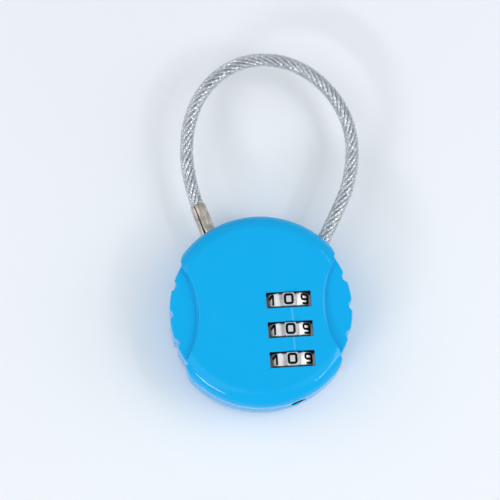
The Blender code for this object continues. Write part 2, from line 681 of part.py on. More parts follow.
# ---- latch and plug -----------------------------------------------------------------------
def latch_lever():
    """Bell crank drawn in its locked position about its pin, then swung back to rest."""
    hub = rod("latch_lever", LEVER_HUB_R, LEVER_LOW - HUB_STEP / 2, LEVER_HIGH + HUB_STEP / 2,
              sides=SMALL_ROUND, paint=STEEL)
    tip_x = LEVER_TIP_X - LEVER_AT.x
    tip_y = BOLT_TRAVEL / 2
    length = hypot(tip_x, tip_y)
    rounded = arc((length, 0), LEVER_TIP_R, -pi / 2, pi / 2, 8)
    outline = [(ARM_FOOT, -ARM_HALF_W)] + rounded + [(ARM_FOOT, ARM_HALF_W)]
    long_arm = prism("lever_long_arm", outline, LEVER_LOW, LEVER_HIGH)
    top = LEVER_ARM + NOSE_W / 2
    low = LEVER_ARM - NOSE_W / 2
    outline = [(1.0 * mm, 0), (1.0 * mm, top), (-NOSE_REACH, top), (-NOSE_REACH, low),
               (-1.0 * mm, low), (-1.0 * mm, 0)]
    nose_arm = prism("lever_nose_arm", outline, LEVER_LOW + 0.1 * mm, LEVER_HIGH - 0.1 * mm)
    hole = rod("lever_bore", LEVER_PIN_R + 2 * PIN_GAP, 0, BODY_T)
    place(hub, at=LEVER_AT.xy.to_3d(), turn=-LEVER_SWING)
    add(hub, place(long_arm, hub, turn=atan(tip_y / tip_x)), place(nose_arm, hub, turn=PLUG_LEAN))
    cut(hub, place(hole, hub))


def lever_pin():
    made = rod("lever_pin", LEVER_PIN_R, BACK_WALL + 0.9 * mm, FRONT_IN - 0.9 * mm,
               sides=16, paint=STEEL)
    place(made, at=LEVER_AT.xy.to_3d())


def plug():
    """Rolled ferrule with an open seam, and the turned pin with the locking groove."""
    seam = FERRULE_SEAM / 2 / FERRULE_R
    start = radians(135) + seam
    ring = arc((0, 0), FERRULE_R, start, start + 2 * pi - 2 * seam, 20)
    ring += arc((0, 0), FERRULE_BORE_R, start + 2 * pi - 2 * seam, start, 20)
    place(prism("plug_ferrule", ring, -FERRULE_IN, FERRULE_OUT, "Y", NICKEL), PLUG_AXIS)
    shank = FERRULE_BORE_R - CLEAR
    profile = [(0, 1.0 * mm), (shank, 1.0 * mm), (shank, -FERRULE_IN - CLEAR),
               (PIN_R, -FERRULE_IN - CLEAR), (PIN_R, -GROOVE_DEPTH + GROOVE_W / 2),
               (GROOVE_R, -GROOVE_DEPTH + GROOVE_W / 2), (GROOVE_R, -GROOVE_DEPTH - GROOVE_W / 2),
               (PIN_R, -GROOVE_DEPTH - GROOVE_W / 2), (PIN_R, -PIN_END + 1.5 * mm),
               (PIN_R / 2, -PIN_END), (0, -PIN_END)]
    place(turned("plug_pin", profile, "Y", 20, STEEL), PLUG_AXIS)


# ---- cable --------------------------------------------------------------------------------
def route():
    """Points at even steps along a smooth curve through the route's own points."""
    keys = [Vector((x * mm, y * mm, CABLE_Z)) for x, y in ROUTE]
    keys = [2 * keys[0] - keys[1]] + keys + [2 * keys[-1] - keys[-2]]
    fine = []
    for a, b, c, d in zip(keys, keys[1:], keys[2:], keys[3:]):
        for n in range(20):
            t = n / 20
            fine.append(0.5 * (2 * b + (c - a) * t + (2 * a - 5 * b + 4 * c - d) * t ** 2
                               + (3 * b - a - 3 * c + d) * t ** 3))
    fine.append(keys[-2])
    return fine


def stretch(fine, start, end):
    """The part of the route between two distances from its start, at even steps."""
    reached = [0.0]
    for a, b in zip(fine, fine[1:]):
        reached.append(reached[-1] + (b - a).length)
    if end is None:
        end = reached[-1]
    steps = max(2, round((end - start) / ROUTE_STEP))
    points = []
    for n in range(steps + 1):
        want = start + (end - start) * n / steps
        at = min(range(len(fine) - 1), key=lambda i: abs((reached[i] + reached[i + 1]) / 2 - want))
        t = (want - reached[at]) / (reached[at + 1] - reached[at])
        points.append(fine[at].lerp(fine[at + 1], t))
    return points


def cord(name, points, radius, paint, caps=True):
    curve = bpy.data.curves.new(name, "CURVE")
    curve.dimensions = "3D"
    curve.bevel_depth = radius
    curve.bevel_resolution = 2
    curve.use_fill_caps = caps
    line = curve.splines.new("POLY")
    line.points.add(len(points) - 1)
    for point, where in zip(line.points, points):
        point.co = (*where, 1)
    curve.materials.append(paint)
    made = bpy.data.objects.new(name, curve)
    bpy.context.scene.collection.objects.link(made)
    return made


def cable():
    """Rope from the plug to the anchor, its clear sheath, and the anchor sleeve."""
    fine = route()
    cord("wire_rope", stretch(fine, 0, None), ROPE_R, ZINC_ROPE)
    whole = sum((b - a).length for a, b in zip(fine, fine[1:]))
    mouth = FERRULE_OUT - 1.5 * mm + CLEAR
    inside = 7.6 * mm - (ANCHOR_NEAR - CLEAR)
    sheath = cord("rope_sheath", stretch(fine, mouth, whole - inside), SHEATH_R, CLEAR_PVC, False)
    wall = sheath.modifiers.new("wall", "SOLIDIFY")
    wall.thickness = SHEATH_WALL
    wall.offset = -1
    profile = [(FERRULE_BORE_R, -ANCHOR_FAR), (ANCHOR_R, -ANCHOR_FAR), (ANCHOR_R, -ANCHOR_NEAR),
               (FERRULE_BORE_R, -ANCHOR_NEAR)]
    place(turned("anchor_sleeve", profile, "Y", 20, STEEL), CABLE_EXIT)


cover(Half("front_cover", BODY_T, 1, FACE_WALL, RECESS_DEPTH))
cover(Half("back_cover", 0.0, -1, BACK_WALL, BACK_RECESS_DEPTH))
dials_and_sleeves()
spindle()
lock_spring()
spring_washer()
reset_plunger()
detent_spring()
latch_lever()
lever_pin()
plug()
cable()
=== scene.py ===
"""Luggage combination padlock: covers, dials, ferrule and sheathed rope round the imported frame.

Metres, as in the frame: the lock lies on its back, +Z out of the dial side, +Y towards the loop.
"""

from math import asin, atan2, cos, pi, radians, sin, sqrt, tan

import bmesh
import bpy
import numpy as np
from mathutils import Matrix, Vector


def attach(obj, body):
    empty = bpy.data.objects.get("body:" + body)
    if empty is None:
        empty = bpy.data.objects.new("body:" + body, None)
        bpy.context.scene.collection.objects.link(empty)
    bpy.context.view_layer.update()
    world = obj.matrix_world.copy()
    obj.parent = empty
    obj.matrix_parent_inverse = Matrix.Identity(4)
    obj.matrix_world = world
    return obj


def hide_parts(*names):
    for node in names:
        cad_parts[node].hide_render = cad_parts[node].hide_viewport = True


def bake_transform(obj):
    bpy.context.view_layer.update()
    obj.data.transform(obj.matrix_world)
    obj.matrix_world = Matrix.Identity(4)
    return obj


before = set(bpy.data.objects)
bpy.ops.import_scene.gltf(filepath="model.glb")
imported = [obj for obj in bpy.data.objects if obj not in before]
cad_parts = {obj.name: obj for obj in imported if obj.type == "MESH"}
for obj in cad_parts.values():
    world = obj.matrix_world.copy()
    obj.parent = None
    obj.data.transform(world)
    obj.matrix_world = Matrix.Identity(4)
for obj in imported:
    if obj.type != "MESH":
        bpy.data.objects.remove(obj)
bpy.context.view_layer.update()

mm = 0.001

# ---- sizes, as in the part's own source ----
BODY_R = 22.5 * mm
BODY_T = 13.5 * mm
PARTING_Z = 7.0 * mm
PARTING_GAP = 0.1 * mm
FACE_R = 19.2 * mm
SHOULDER_H = 3.1 * mm
FACE_BREAK = radians(18)
WALL = 1.6 * mm
GRIP_HALF = radians(33.5)
GRIP_STEP = radians(1.0)            # the turn in which the grip's end step rises
GRIP_END_R = 21.75 * mm             # the edge's radius at the top of that step
GRIP_EASE = radians(8.0)            # the turn in which the edge then reaches the rim
GRIP_R = 21.1 * mm
NOTCH_DEPTH = 0.7 * mm
NOTCH_PITCH = radians(18.5)
NOTCH_HALF = radians(3.3)
RECESS_X = 14.5 * mm
FRONT_RECESS = 1.1 * mm
BACK_RECESS = 0.6 * mm
FRONT_WALL = 1.4 * mm
BACK_WALL = 1.2 * mm
SHELF_DROP = 1.0 * mm

DIAL_X = 6.4 * mm
DIAL_Z = 7.9 * mm
DIAL_Y = {"top": 1.9 * mm, "middle": -5.05 * mm, "bottom": -12.0 * mm}
DIAL_R = 6.4 * mm
DIAL_W = 3.3 * mm
FIGURES = 10
WINDOW_W = 10.3 * mm
WINDOW_H = 3.65 * mm

RESET_X = 7.6 * mm
RESET_R = 1.6 * mm
PLUG_AT = Vector((-10.9, 19.7, 7.0)) * mm
PLUG_LEAN = radians(18.2)
FERRULE_R = 1.85 * mm
FERRULE_BORE = 1.4 * mm
FERRULE_OUT = 7.36 * mm
FERRULE_IN = 1.2 * mm
CABLE_AT = Vector((15.56, 16.22, 7.0)) * mm
CABLE_LEAN = radians(-28.6)
SHEATH_R = 1.6 * mm
SHEATH_BORE = 1.28 * mm
POST_R = 1.2 * mm
POST_END_Z = 3.0 * mm
POSTS = [(-13.5, -6.5), (-1.5, -17.3), (-14.0, 5.5), (15.2, 5.6), (15.2, -6.4)]

# ---- sizes of the finer work ----
FLAT_START = 14.2 * mm              # the face is one flat cap out to here
CREASE_SOFT = 0.15 * mm             # the face's crease starts to round this far inside it
CREASE_DROP = 0.012 * mm
LEAST_EDGE = 0.03 * mm
EDGE_ROUND = 0.25 * mm              # more rounding, along the grips
STEP_ROUND = 0.3 * mm
STEP_SHARE = 0.45                   # that rounding's limit, as a share of the step's height
STEP_LEAST = 0.3 * mm               # a step closer to the rim than this is left out
FACE_STEPS = 14
NO_STEP_POINTS = 12                 # in place of a column's last point, where it has no step
PARTING_EDGE = ((0.0, 0.1), (0.015, 0.04), (0.06, 0.0))     # mm in from the rim, and up
COLUMN_TURNS = (0.12, 0.36, 1.2)    # degrees at the grip's end step, on the grip, elsewhere
CORE_SIDES = 64
WINDOW_EDGE = 0.14 * mm
HUMP_LEFT = 2.6 * mm
HUMP_CREST = 0.35 * mm
HUMP_ROUND = 0.25 * mm
HUMP_H = 0.34 * mm
HUMP_SINK = 0.02 * mm               # the flanks end this far below the face
HUMP_STEEP = radians(34)
CORE_MORE = 0.3 * mm                # how far the cavity's cutter runs into the walls
BORE_ROOM = 0.22 * mm
BORE_FLARE = 0.9 * mm
RESET_BEVEL = 0.2 * mm
LEVEL = 0.99999                     # least upward part of a level face's normal
SKIN = 0.2 * mm                     # deeper than this below the outside counts as inside
PAD_CROWN = 0.985                   # distance to a pad's flat, as a share of the dial's radius
DIAL_BORE = 4.45 * mm
TOOTH_TIP = 4.35 * mm
TOOTH_ROOT = 3.75 * mm
TOOTH_TIP_HALF = radians(9.5)
TOOTH_ROOT_HALF = radians(11.5)
FIGURE_W = 1.72 * mm
FIGURE_H = 2.05 * mm
FIGURE_STROKE = 0.56 * mm
FIGURE_THICKNESS = 0.12 * mm
ROUND_CORNER = 0.42 * mm
CRISP_CORNER = 0.12 * mm
CRISP_FIGURES = (1, 4, 7)

SEAM_AT = radians(122)
SEAM_HALF = 0.1                     # mm, half the seam's width at the mouth
SEAM_OPENS = 0.16                   # mm, more at the root
SEAM_LIP = 0.1 * mm                 # how far the seam's edges turn in
MOUTH_DROP = 0.14 * mm
FLARE = 0.12 * mm
FLARE_END = 2.2 * mm
LEAST_SHEET = 0.3 * mm
ROLL = 0.35 * mm                    # how far the lip and the mouth's rounding reach
SHEATH_END = 0.12 * mm

CORNERS = ((-1, -1), (1, -1), (1, 1), (-1, 1))

# angle round the ferrule, distance from the rim, half width, half length and depth of each dent
CRIMPS = [
    (radians(88), 2.9 * mm, 0.34, 1.5 * mm, 0.32 * mm),
    (radians(34), 1.6 * mm, 0.32, 1.3 * mm, 0.34 * mm),
    (radians(-98), 2.6 * mm, 0.3, 1.35 * mm, 0.3 * mm),
]

ROUTE = [
    (-11.37, 21.13), (-12.30, 23.97), (-13.22, 26.75), (-14.35, 31.60), (-15.00, 36.50),
    (-14.95, 41.40), (-13.95, 47.00), (-11.60, 52.60), (-8.00, 57.00), (-3.50, 60.10),
    (1.40, 61.60), (6.40, 61.50), (11.20, 60.10), (15.50, 57.50), (19.20, 53.80),
    (22.00, 49.30), (23.70, 44.40), (24.20, 39.20), (23.60, 34.00), (22.20, 29.10),
    (20.20, 24.80), (17.95, 20.61), (15.56, 16.22), (13.65, 12.71), (11.93, 9.55),
]


def linked(name, data):
    """An object of this data, in the scene."""
    made = bpy.data.objects.new(name, data)
    bpy.context.scene.collection.objects.link(made)
    return made


# ---- camera ----
def camera():
    """Looks down on the dials from a little below and to the left, through a long lens."""
    target = Vector((-1.494, 15.4, 7.0)) * mm
    elevation = radians(77.4)
    azimuth = radians(-101.86)
    roll = radians(3.5)
    back = Vector((cos(elevation) * cos(azimuth), cos(elevation) * sin(azimuth), sin(elevation)))
    level = Vector((0, 1, 0)).cross(back).normalized()
    rise = back.cross(level)
    right = level * cos(roll) - rise * sin(roll)
    up = level * sin(roll) + rise * cos(roll)
    data = bpy.data.cameras.new("camera")
    data.sensor_width = 36
    data.lens = 153.55
    data.clip_start = 0.01
    made = linked("camera", data)
    turn = Matrix((right, up, back)).transposed().to_4x4()
    made.matrix_world = Matrix.Translation(target + back * 0.5) @ turn
    bpy.context.scene.camera = made


camera()


# ---- node trees ----
def fill(tree, sockets, values):
    """Gives each socket its value, or a link from an output or from a node's first output."""
    for key, value in values.items():
        if isinstance(value, bpy.types.Node):
            value = value.outputs[0]
        if isinstance(value, bpy.types.NodeSocket):
            tree.links.new(value, sockets[key])
        else:
            sockets[key].default_value = value


def spaced(values):
    return {key.replace("_", " "): value for key, value in values.items()}


def node(tree, kind, inputs=None, **settings):
    made = tree.nodes.new(kind)
    for key, value in settings.items():
        setattr(made, key, value)
    fill(tree, made.inputs, inputs or {})
    return made


def math(tree, operation, a, b=0.0):
    return node(tree, "ShaderNodeMath", {0: a, 1: b}, operation=operation).outputs[0]


def times(tree, a, b):
    return math(tree, "MULTIPLY", a, b)


def vector(tree, operation, a, b):
    key = "Scale" if operation == "SCALE" else 1
    return node(tree, "ShaderNodeVectorMath", {0: a, key: b}, operation=operation).outputs[0]


def position(tree):
    """A point's place, and its x, y and z."""
    place = node(tree, "GeometryNodeInputPosition").outputs[0]
    return place, node(tree, "ShaderNodeSeparateXYZ", {0: place}).outputs


def mixed(tree, factor, a, b):
    return node(tree, "ShaderNodeMix", {0: factor, 6: a, 7: b}, data_type="RGBA").outputs[2]


def ramp(tree, value, low, high, to_low=0.0, to_high=1.0):
    made = node(tree, "ShaderNodeMapRange", {0: value, 1: low, 2: high, 3: to_low, 4: to_high})
    return made.outputs[0]


def new_group(name, kind, inputs, outputs):
    """A node group with its sockets, and its input and output nodes."""
    group = bpy.data.node_groups.new(name, kind)
    for label, socket, value in inputs:
        made = group.interface.new_socket(label, in_out="INPUT", socket_type=socket)
        if value is not None:
            made.default_value = value
    for label, socket in outputs:
        group.interface.new_socket(label, in_out="OUTPUT", socket_type=socket)
    source = group.nodes.new("NodeGroupInput")
    result = group.nodes.new("NodeGroupOutput")
    return group, source.outputs, result.inputs


FLOAT = "NodeSocketFloat"
WHOLE = "NodeSocketInt"
VECTOR = "NodeSocketVector"
GEOMETRY = "NodeSocketGeometry"


def geometry_group(name, inputs):
    """A geometry tree with the sockets given, between its geometry and its material."""
    inputs = [("Geometry", GEOMETRY, None)] + inputs + [("Finish", "NodeSocketMaterial", None)]
    return new_group(name, "GeometryNodeTree", inputs, [("Geometry", GEOMETRY)])


def painted(group, last, given, result):
    """Ends a geometry tree: real geometry, in the material given."""
    real = node(group, "GeometryNodeRealizeInstances", {"Geometry": last})
    paint = node(group, "GeometryNodeSetMaterial", {"Geometry": real,
                 "Material": given["Finish"]})
    group.links.new(paint.outputs[0], result["Geometry"])
    return group


def handling_group():
    """Marks that handling leaves: hairline scratches, and smudges that dull the gloss."""
    group, given, result = new_group(
        "handling_marks", "ShaderNodeTree",
        [("Vector", VECTOR, None), ("Scratch Size", FLOAT, 400.0),
         ("Scratches", FLOAT, 0.3), ("Smudge Size", FLOAT, 90.0), ("Smudges", FLOAT, 0.3)],
        [("Scratch", FLOAT), ("Smudge", FLOAT)])
    lines = []
    for n, (turn, stretch) in enumerate(((0.5, 0.04), (-0.9, 0.05))):
        turned = node(group, "ShaderNodeMapping", {"Vector": given["Vector"],
                      "Rotation": (0.3 * n, 0.2, turn), "Scale": (1.0, stretch, 1.0)})
        grain = node(group, "ShaderNodeTexNoise", {"Vector": turned,
                     "Scale": given["Scratch Size"], "Detail": 2.0})
        away = math(group, "ABSOLUTE", math(group, "SUBTRACT", grain, 0.5))
        lines.append(ramp(group, away, 0.0, 0.012, 1.0, 0.0))
    both = math(group, "MAXIMUM", lines[0], lines[1])
    patches = node(group, "ShaderNodeTexNoise", {"Vector": given["Vector"],
                   "Scale": given["Smudge Size"], "Detail": 4.0, "Roughness": 0.6})
    some = ramp(group, patches, 0.5, 0.68)
    scratch = times(group, times(group, both, some), given["Scratches"])
    group.links.new(scratch, result["Scratch"])
    smudge = times(group, ramp(group, patches, 0.35, 0.75), given["Smudges"])
    group.links.new(smudge, result["Smudge"])
    return group


def grain_group():
    """Drawn or turned metal: fine lines along one axis, over cloudy tarnish."""
    group, given, result = new_group(
        "metal_grain", "ShaderNodeTree",
        [("Vector", VECTOR, None), ("Stretch", VECTOR, (1.0, 1.0, 1.0)),
         ("Line Size", FLOAT, 3000.0), ("Tarnish Size", FLOAT, 500.0)],
        [("Lines", FLOAT), ("Tarnish", FLOAT)])
    along = node(group, "ShaderNodeMapping",
                 {"Vector": given["Vector"], "Scale": given["Stretch"]})
    lines = node(group, "ShaderNodeTexNoise", {"Vector": along,
                 "Scale": given["Line Size"], "Detail": 3.0, "Roughness": 0.65})
    group.links.new(ramp(group, lines, 0.3, 0.7), result["Lines"])
    cloud = node(group, "ShaderNodeTexNoise", {"Vector": given["Vector"],
                 "Scale": given["Tarnish Size"], "Detail": 5.0, "Roughness": 0.7})
    group.links.new(ramp(group, cloud, 0.4, 0.7), result["Tarnish"])
    return group


HANDLING = handling_group()
GRAIN = grain_group()


def new_material(name, **fixed):
    """A material and its tree, its Principled shader with the given fixed values, and Object
    coordinates."""
    made = bpy.data.materials.new(name)
    made.use_nodes = True
    tree = made.node_tree
    shader = tree.nodes["Principled BSDF"]
    fill(tree, shader.inputs, spaced(fixed))
    place = node(tree, "ShaderNodeTexCoord").outputs["Object"]
    return made, tree, shader.inputs, place


def use(tree, group, **inputs):
    return node(tree, "ShaderNodeGroup", spaced(inputs), node_tree=group).outputs


def bump(tree, shader, height, strength, distance):
    made = node(tree, "ShaderNodeBump", {"Strength": strength, "Distance": distance,
                "Height": height})
    tree.links.new(made.outputs[0], shader["Normal"])


def moulded(name, colour, deeper, roughness, **fixed):
    """Polished moulded plastic: faint flow in the colour, smudges, hairlines, a slight ripple."""
    made, tree, shader, place = new_material(name, **fixed)
    marks = use(tree, HANDLING, Vector=place, Scratch_Size=900.0, Scratches=0.02, Smudges=0.12)
    flow = node(tree, "ShaderNodeTexNoise", {"Vector": place, "Scale": 45.0, "Detail": 2.0,
                "Distortion": 0.6})
    paint = mixed(tree, ramp(tree, flow, 0.3, 0.7), (*colour, 1), (*deeper, 1))
    paler = mixed(tree, marks["Scratch"], paint, (*[0.5 + 0.5 * c for c in colour], 1))
    tree.links.new(paler, shader["Base Color"])
    dull = math(tree, "ADD", times(tree, marks["Smudge"], 0.25), roughness)
    tree.links.new(math(tree, "ADD", dull, times(tree, marks["Scratch"], 0.3)),
                   shader["Roughness"])
    ripple = node(tree, "ShaderNodeTexNoise", {"Vector": place, "Scale": 700.0, "Detail": 2.0})
    height = math(tree, "SUBTRACT", ripple, marks["Scratch"])
    bump(tree, shader, height, 0.05, 0.00005)
    return made


def metal(name, colour, tarnished, roughness, stretch, relief=0.15, line_size=3000.0,
          metallic=1.0, **fixed):
    """Bare or plated metal: drawn lines, cloudy tarnish that dulls it, and scratches."""
    made, tree, shader, place = new_material(name, Metallic=metallic, **fixed)
    grain = use(tree, GRAIN, Vector=place, Stretch=stretch, Line_Size=line_size)
    marks = use(tree, HANDLING, Vector=place, Scratch_Size=900.0, Scratches=0.5)
    tone = mixed(tree, grain["Tarnish"], (*colour, 1), (*tarnished, 1))
    tone = mixed(tree, times(tree, grain["Lines"], 0.25), tone,
                 (*[0.6 * c for c in colour], 1))
    tree.links.new(tone, shader["Base Color"])
    dull = math(tree, "ADD", times(tree, grain["Tarnish"], 0.2), roughness)
    dull = math(tree, "ADD", dull, times(tree, grain["Lines"], 0.12))
    tree.links.new(dull, shader["Roughness"])
    height = math(tree, "SUBTRACT", grain["Lines"], marks["Scratch"])
    bump(tree, shader, height, relief, 0.00003)
    return made


def painted_groove_shade(material):
    """Painted shade: darkens the base colour between the pads of a wheel, most towards the bottom
    of each groove.
    """
    tree = material.node_tree
    paint = tree.nodes["Principled BSDF"].inputs["Base Color"]
    depth = node(tree, "ShaderNodeAttribute", attribute_name="groove").outputs["Fac"]
    # painted shade: near-black mixed into the plating's colour, more deeper in each groove
    tone = mixed(tree, ramp(tree, depth, 0.35, 1.0, 0.0, 0.4), paint.links[0].from_socket,
                 (0.03, 0.028, 0.03, 1))
    tree.links.new(tone, paint)
    return material


def sheath_material():
    """Clear extruded vinyl, with drawing lines along it and a few cloudy patches."""
    made, tree, shader, place = new_material("clear_vinyl", IOR=1.38, Transmission_Weight=1.0,
                                             Metallic=0.0)
    cloud = node(tree, "ShaderNodeTexNoise", {"Vector": place, "Scale": 300.0, "Detail": 3.0})
    tree.links.new(ramp(tree, cloud, 0.4, 0.75, 0.02, 0.14), shader["Roughness"])
    tint = mixed(tree, ramp(tree, cloud, 0.4, 0.7), (0.98, 0.99, 1.0, 1),
                 (0.93, 0.95, 0.97, 1))
    tree.links.new(tint, shader["Base Color"])
    bump(tree, shader, cloud, 0.08, 0.00005)
    return made


def ink_material():
    """Black figures, printed on: matt, a little thin in places."""
    made, tree, shader, place = new_material("figure_ink", IOR=1.45, Specular_IOR_Level=0.12)
    speck = node(tree, "ShaderNodeTexNoise", {"Vector": place, "Scale": 2500.0, "Detail": 3.0})
    thin = ramp(tree, speck, 0.62, 0.78)
    tree.links.new(mixed(tree, thin, (0.004, 0.004, 0.005, 1), (0.02, 0.018, 0.018, 1)),
                   shader["Base Color"])
    tree.links.new(ramp(tree, speck, 0.3, 0.7, 0.6, 0.85), shader["Roughness"])
    bump(tree, shader, speck, 0.1, 0.00003)
    return made


BLUE = moulded("blue_plastic", (0.0, 0.43, 0.86), (0.0, 0.415, 0.845), 0.08, IOR=1.5,
               Specular_IOR_Level=0.28)
# Painted shade: a near-black colour for the covers' inner faces, window walls and reset bore,
# where shade falls
CAVITY_SHADE = moulded("cavity_plastic", (0.003, 0.003, 0.004), (0.005, 0.004, 0.005), 0.5, IOR=1.5,
                      Specular_IOR_Level=0.12)
ACETAL = moulded("natural_acetal", (0.78, 0.77, 0.72), (0.7, 0.69, 0.64), 0.4, IOR=1.48)
PLATE = painted_groove_shade(metal("plated_pads", (0.96, 0.95, 0.96), (0.85, 0.83, 0.84), 0.25,
                            (1.0, 0.06, 1.0), 0.05, metallic=0.82))
NICKEL = metal("warm_nickel", (0.74, 0.67, 0.6), (0.28, 0.24, 0.2), 0.24, (1.0, 0.12, 1.0),
               0.35, 2200.0, metallic=0.9)
ZINC = metal("zinc_strand", (0.88, 0.9, 0.93), (0.6, 0.63, 0.66), 0.18, (1.0, 1.0, 1.0), 0.2,
             metallic=0.82)
STEEL = metal("turned_steel", (0.62, 0.62, 0.64), (0.42, 0.41, 0.4), 0.28, (1.0, 14.0, 1.0))
BRASS = metal("leaf_brass", (0.78, 0.6, 0.3), (0.5, 0.35, 0.16), 0.3, (14.0, 1.0, 1.0))
VINYL = sheath_material()
INK = ink_material()


# ---- meshes ----
def coat(mesh, *paints):
    mesh.materials.clear()
    for paint in paints:
        mesh.materials.append(paint)


def shade(mesh, sharp):
    """Smooth shading, but for edges that turn by more than this many degrees."""
    mesh.shade_smooth()
    mesh.set_sharp_from_angle(angle=radians(sharp))


def as_object(name, mesh, paint=None):
    made = linked(name, mesh)
    if paint:
        coat(mesh, paint)
    return made


def clean(mesh, sharp=35, merge=1e-6):
    """Merges close points, fills small holes and points the faces outwards."""
    bm = bmesh.new()
    bm.from_mesh(mesh)
    bmesh.ops.remove_doubles(bm, verts=bm.verts, dist=merge)
    bmesh.ops.dissolve_degenerate(bm, edges=bm.edges, dist=1e-7)
    loose = [line for line in bm.edges if not line.link_faces]
    bmesh.ops.delete(bm, geom=loose, context="EDGES")
    rims = [line for line in bm.edges if len(line.link_faces) == 1]
    bmesh.ops.holes_fill(bm, edges=rims, sides=4)
    bmesh.ops.recalc_face_normals(bm, faces=bm.faces)
    bm.to_mesh(mesh)
    bm.free()
    shade(mesh, sharp)


def plain(obj, sharp=35, merge=1e-6):
    """The evaluated object as a plain mesh, with its modifiers gone and its place in the mesh."""
    seen = obj.evaluated_get(bpy.context.evaluated_depsgraph_get())
    mesh = bpy.data.meshes.new_from_object(seen)
    mesh.transform(obj.matrix_world)
    clean(mesh, sharp, merge)
    name = obj.name
    bpy.data.objects.remove(obj)
    mesh.name = name
    return as_object(name, mesh)


def boolean(target, operation, *tools):
    """Applies Boolean steps with throwaway tools, and gives the plain result."""
    for tool in tools:
        step = target.modifiers.new(tool.name, "BOOLEAN")
        step.operation = operation
        step.solver = "MANIFOLD"
        step.object = tool
    bpy.context.view_layer.update()
    result = plain(target)
    for tool in tools:
        bpy.data.objects.remove(tool)
    return result


def lofted(name, rings, paint=None, sharp=35):
    """Closed rings of equal length joined in order, with a flat cap at each end."""
    size = len(rings[0])
    last = (len(rings) - 1) * size
    faces = []
    for low in range(0, last, size):
        for n in range(size):
            m = (n + 1) % size
            faces.append((low + n, low + m, low + size + m, low + size + n))
    faces.append(tuple(range(size - 1, -1, -1)))
    faces.append(tuple(range(last, last + size)))
    mesh = bpy.data.meshes.new(name)
    mesh.from_pydata([tuple(p) for ring in rings for p in ring], [], faces)
    clean(mesh, sharp)
    return as_object(name, mesh, paint)


def circle(radius, sides):
    return [(radius * cos(2 * pi * n / sides), radius * sin(2 * pi * n / sides))
            for n in range(sides)]


def lathe_y(name, profile, sides=48):
    """(radius, y) points spun round Y, open ends capped."""
    return lofted(name, [[(x, y, z) for x, z in circle(radius, sides)] for radius, y in profile])


def put(obj, at, turn=0.0):
    """Moves a mesh into place: turned about Z, then set down."""
    obj.data.transform(Matrix.Translation(at) @ Matrix.Rotation(turn, 4, "Z"))
    return obj


# ---- cable ----
def route():
    """Close, even points along a smooth curve through the route's own points."""
    keys = [Vector((x, y, 7.0)) * mm for x, y in ROUTE]
    keys = [2 * keys[0] - keys[1]] + keys + [2 * keys[-1] - keys[-2]]
    fine = []
    for a, b, c, d in zip(keys, keys[1:], keys[2:], keys[3:]):
        for n in range(20):
            t = n / 20
            fine.append(0.5 * (2 * b + (c - a) * t + (2 * a - 5 * b + 4 * c - d) * t ** 2
                               + (3 * b - a - 3 * c + d) * t ** 3))
    fine.append(keys[-2])
    return fine


def run_of(fine, start, end, step):
    """Points at even steps along the part of the route between two distances."""
    array = np.array(fine)
    reached = np.concatenate([[0], np.cumsum(np.linalg.norm(np.diff(array, axis=0), axis=1))])
    end = reached[-1] - end
    wanted = np.linspace(start, end, int((end - start) / step) + 1)
    return [Vector([np.interp(w, reached, array[:, k]) for k in range(3)]) for w in wanted]


def rope_tree():
    """Strands laid round a path, each with its own wires twisted the other way."""
    group, given, result = geometry_group(
        "laid_rope",
        [("Strands", WHOLE, 6), ("Lay", FLOAT, 0.011), ("Helix Radius", FLOAT, 0.00075),
         ("Strand Radius", FLOAT, 0.0004), ("Wires", WHOLE, 6), ("Wire Lay", FLOAT, 0.006),
         ("Wire Groove", FLOAT, 0.2), ("Step", FLOAT, 0.0004)])
    even = node(group, "GeometryNodeResampleCurve", {"Curve": given["Geometry"],
                "Length": given["Step"]}, mode="LENGTH")
    copies = node(group, "GeometryNodeDuplicateElements", {"Geometry": even,
                  "Amount": given["Strands"]}, domain="SPLINE")
    length = node(group, "GeometryNodeSplineParameter").outputs["Length"]
    tangent = node(group, "GeometryNodeInputTangent").outputs[0]
    share = math(group, "DIVIDE", copies.outputs["Duplicate Index"], given["Strands"])
    turns = math(group, "SUBTRACT", share, math(group, "DIVIDE", length, given["Lay"]))
    angle = times(group, turns, 2 * pi)
    aside = vector(group, "CROSS_PRODUCT", tangent, (0, 0, 1))
    across = vector(group, "SCALE", aside, math(group, "COSINE", angle))
    above = node(group, "ShaderNodeCombineXYZ", {2: math(group, "SINE", angle)}).outputs[0]
    both = vector(group, "ADD", across, above)
    offset = vector(group, "SCALE", both, given["Helix Radius"])
    moved = node(group, "GeometryNodeSetPosition", {"Geometry": copies.outputs["Geometry"],
                 "Offset": offset})
    twist = times(group, math(group, "DIVIDE", length, given["Wire Lay"]), 2 * pi)
    tilted = node(group, "GeometryNodeSetCurveTilt", {"Curve": moved, "Tilt": twist})
    ring = node(group, "GeometryNodeCurvePrimitiveCircle", {"Resolution": 18,
                "Radius": given["Strand Radius"]}, mode="RADIUS")
    place, at = position(group)
    lobe = times(group, math(group, "ARCTAN2", at[1], at[0]), given["Wires"])
    dip = ramp(group, math(group, "COSINE", lobe), -1.0, 1.0)
    scale = math(group, "SUBTRACT", 1.0, times(group, dip, given["Wire Groove"]))
    lobed = node(group, "GeometryNodeSetPosition", {"Geometry": ring,
                 "Position": vector(group, "SCALE", place, scale)})
    tube = node(group, "GeometryNodeCurveToMesh", {"Curve": tilted,
                "Profile Curve": lobed, "Fill Caps": True})
    return painted(group, tube, given, result)


def with_nodes(obj, group, **inputs):
    """Adds a Geometry Nodes modifier and sets its inputs by their sockets' identifiers."""
    step = obj.modifiers.new(group.name, "NODES")
    step.node_group = group
    for item in group.interface.items_tree:
        key = item.name.replace(" ", "_")
        if item.in_out == "INPUT" and key in inputs:
            step[item.identifier] = inputs[key]
    return obj


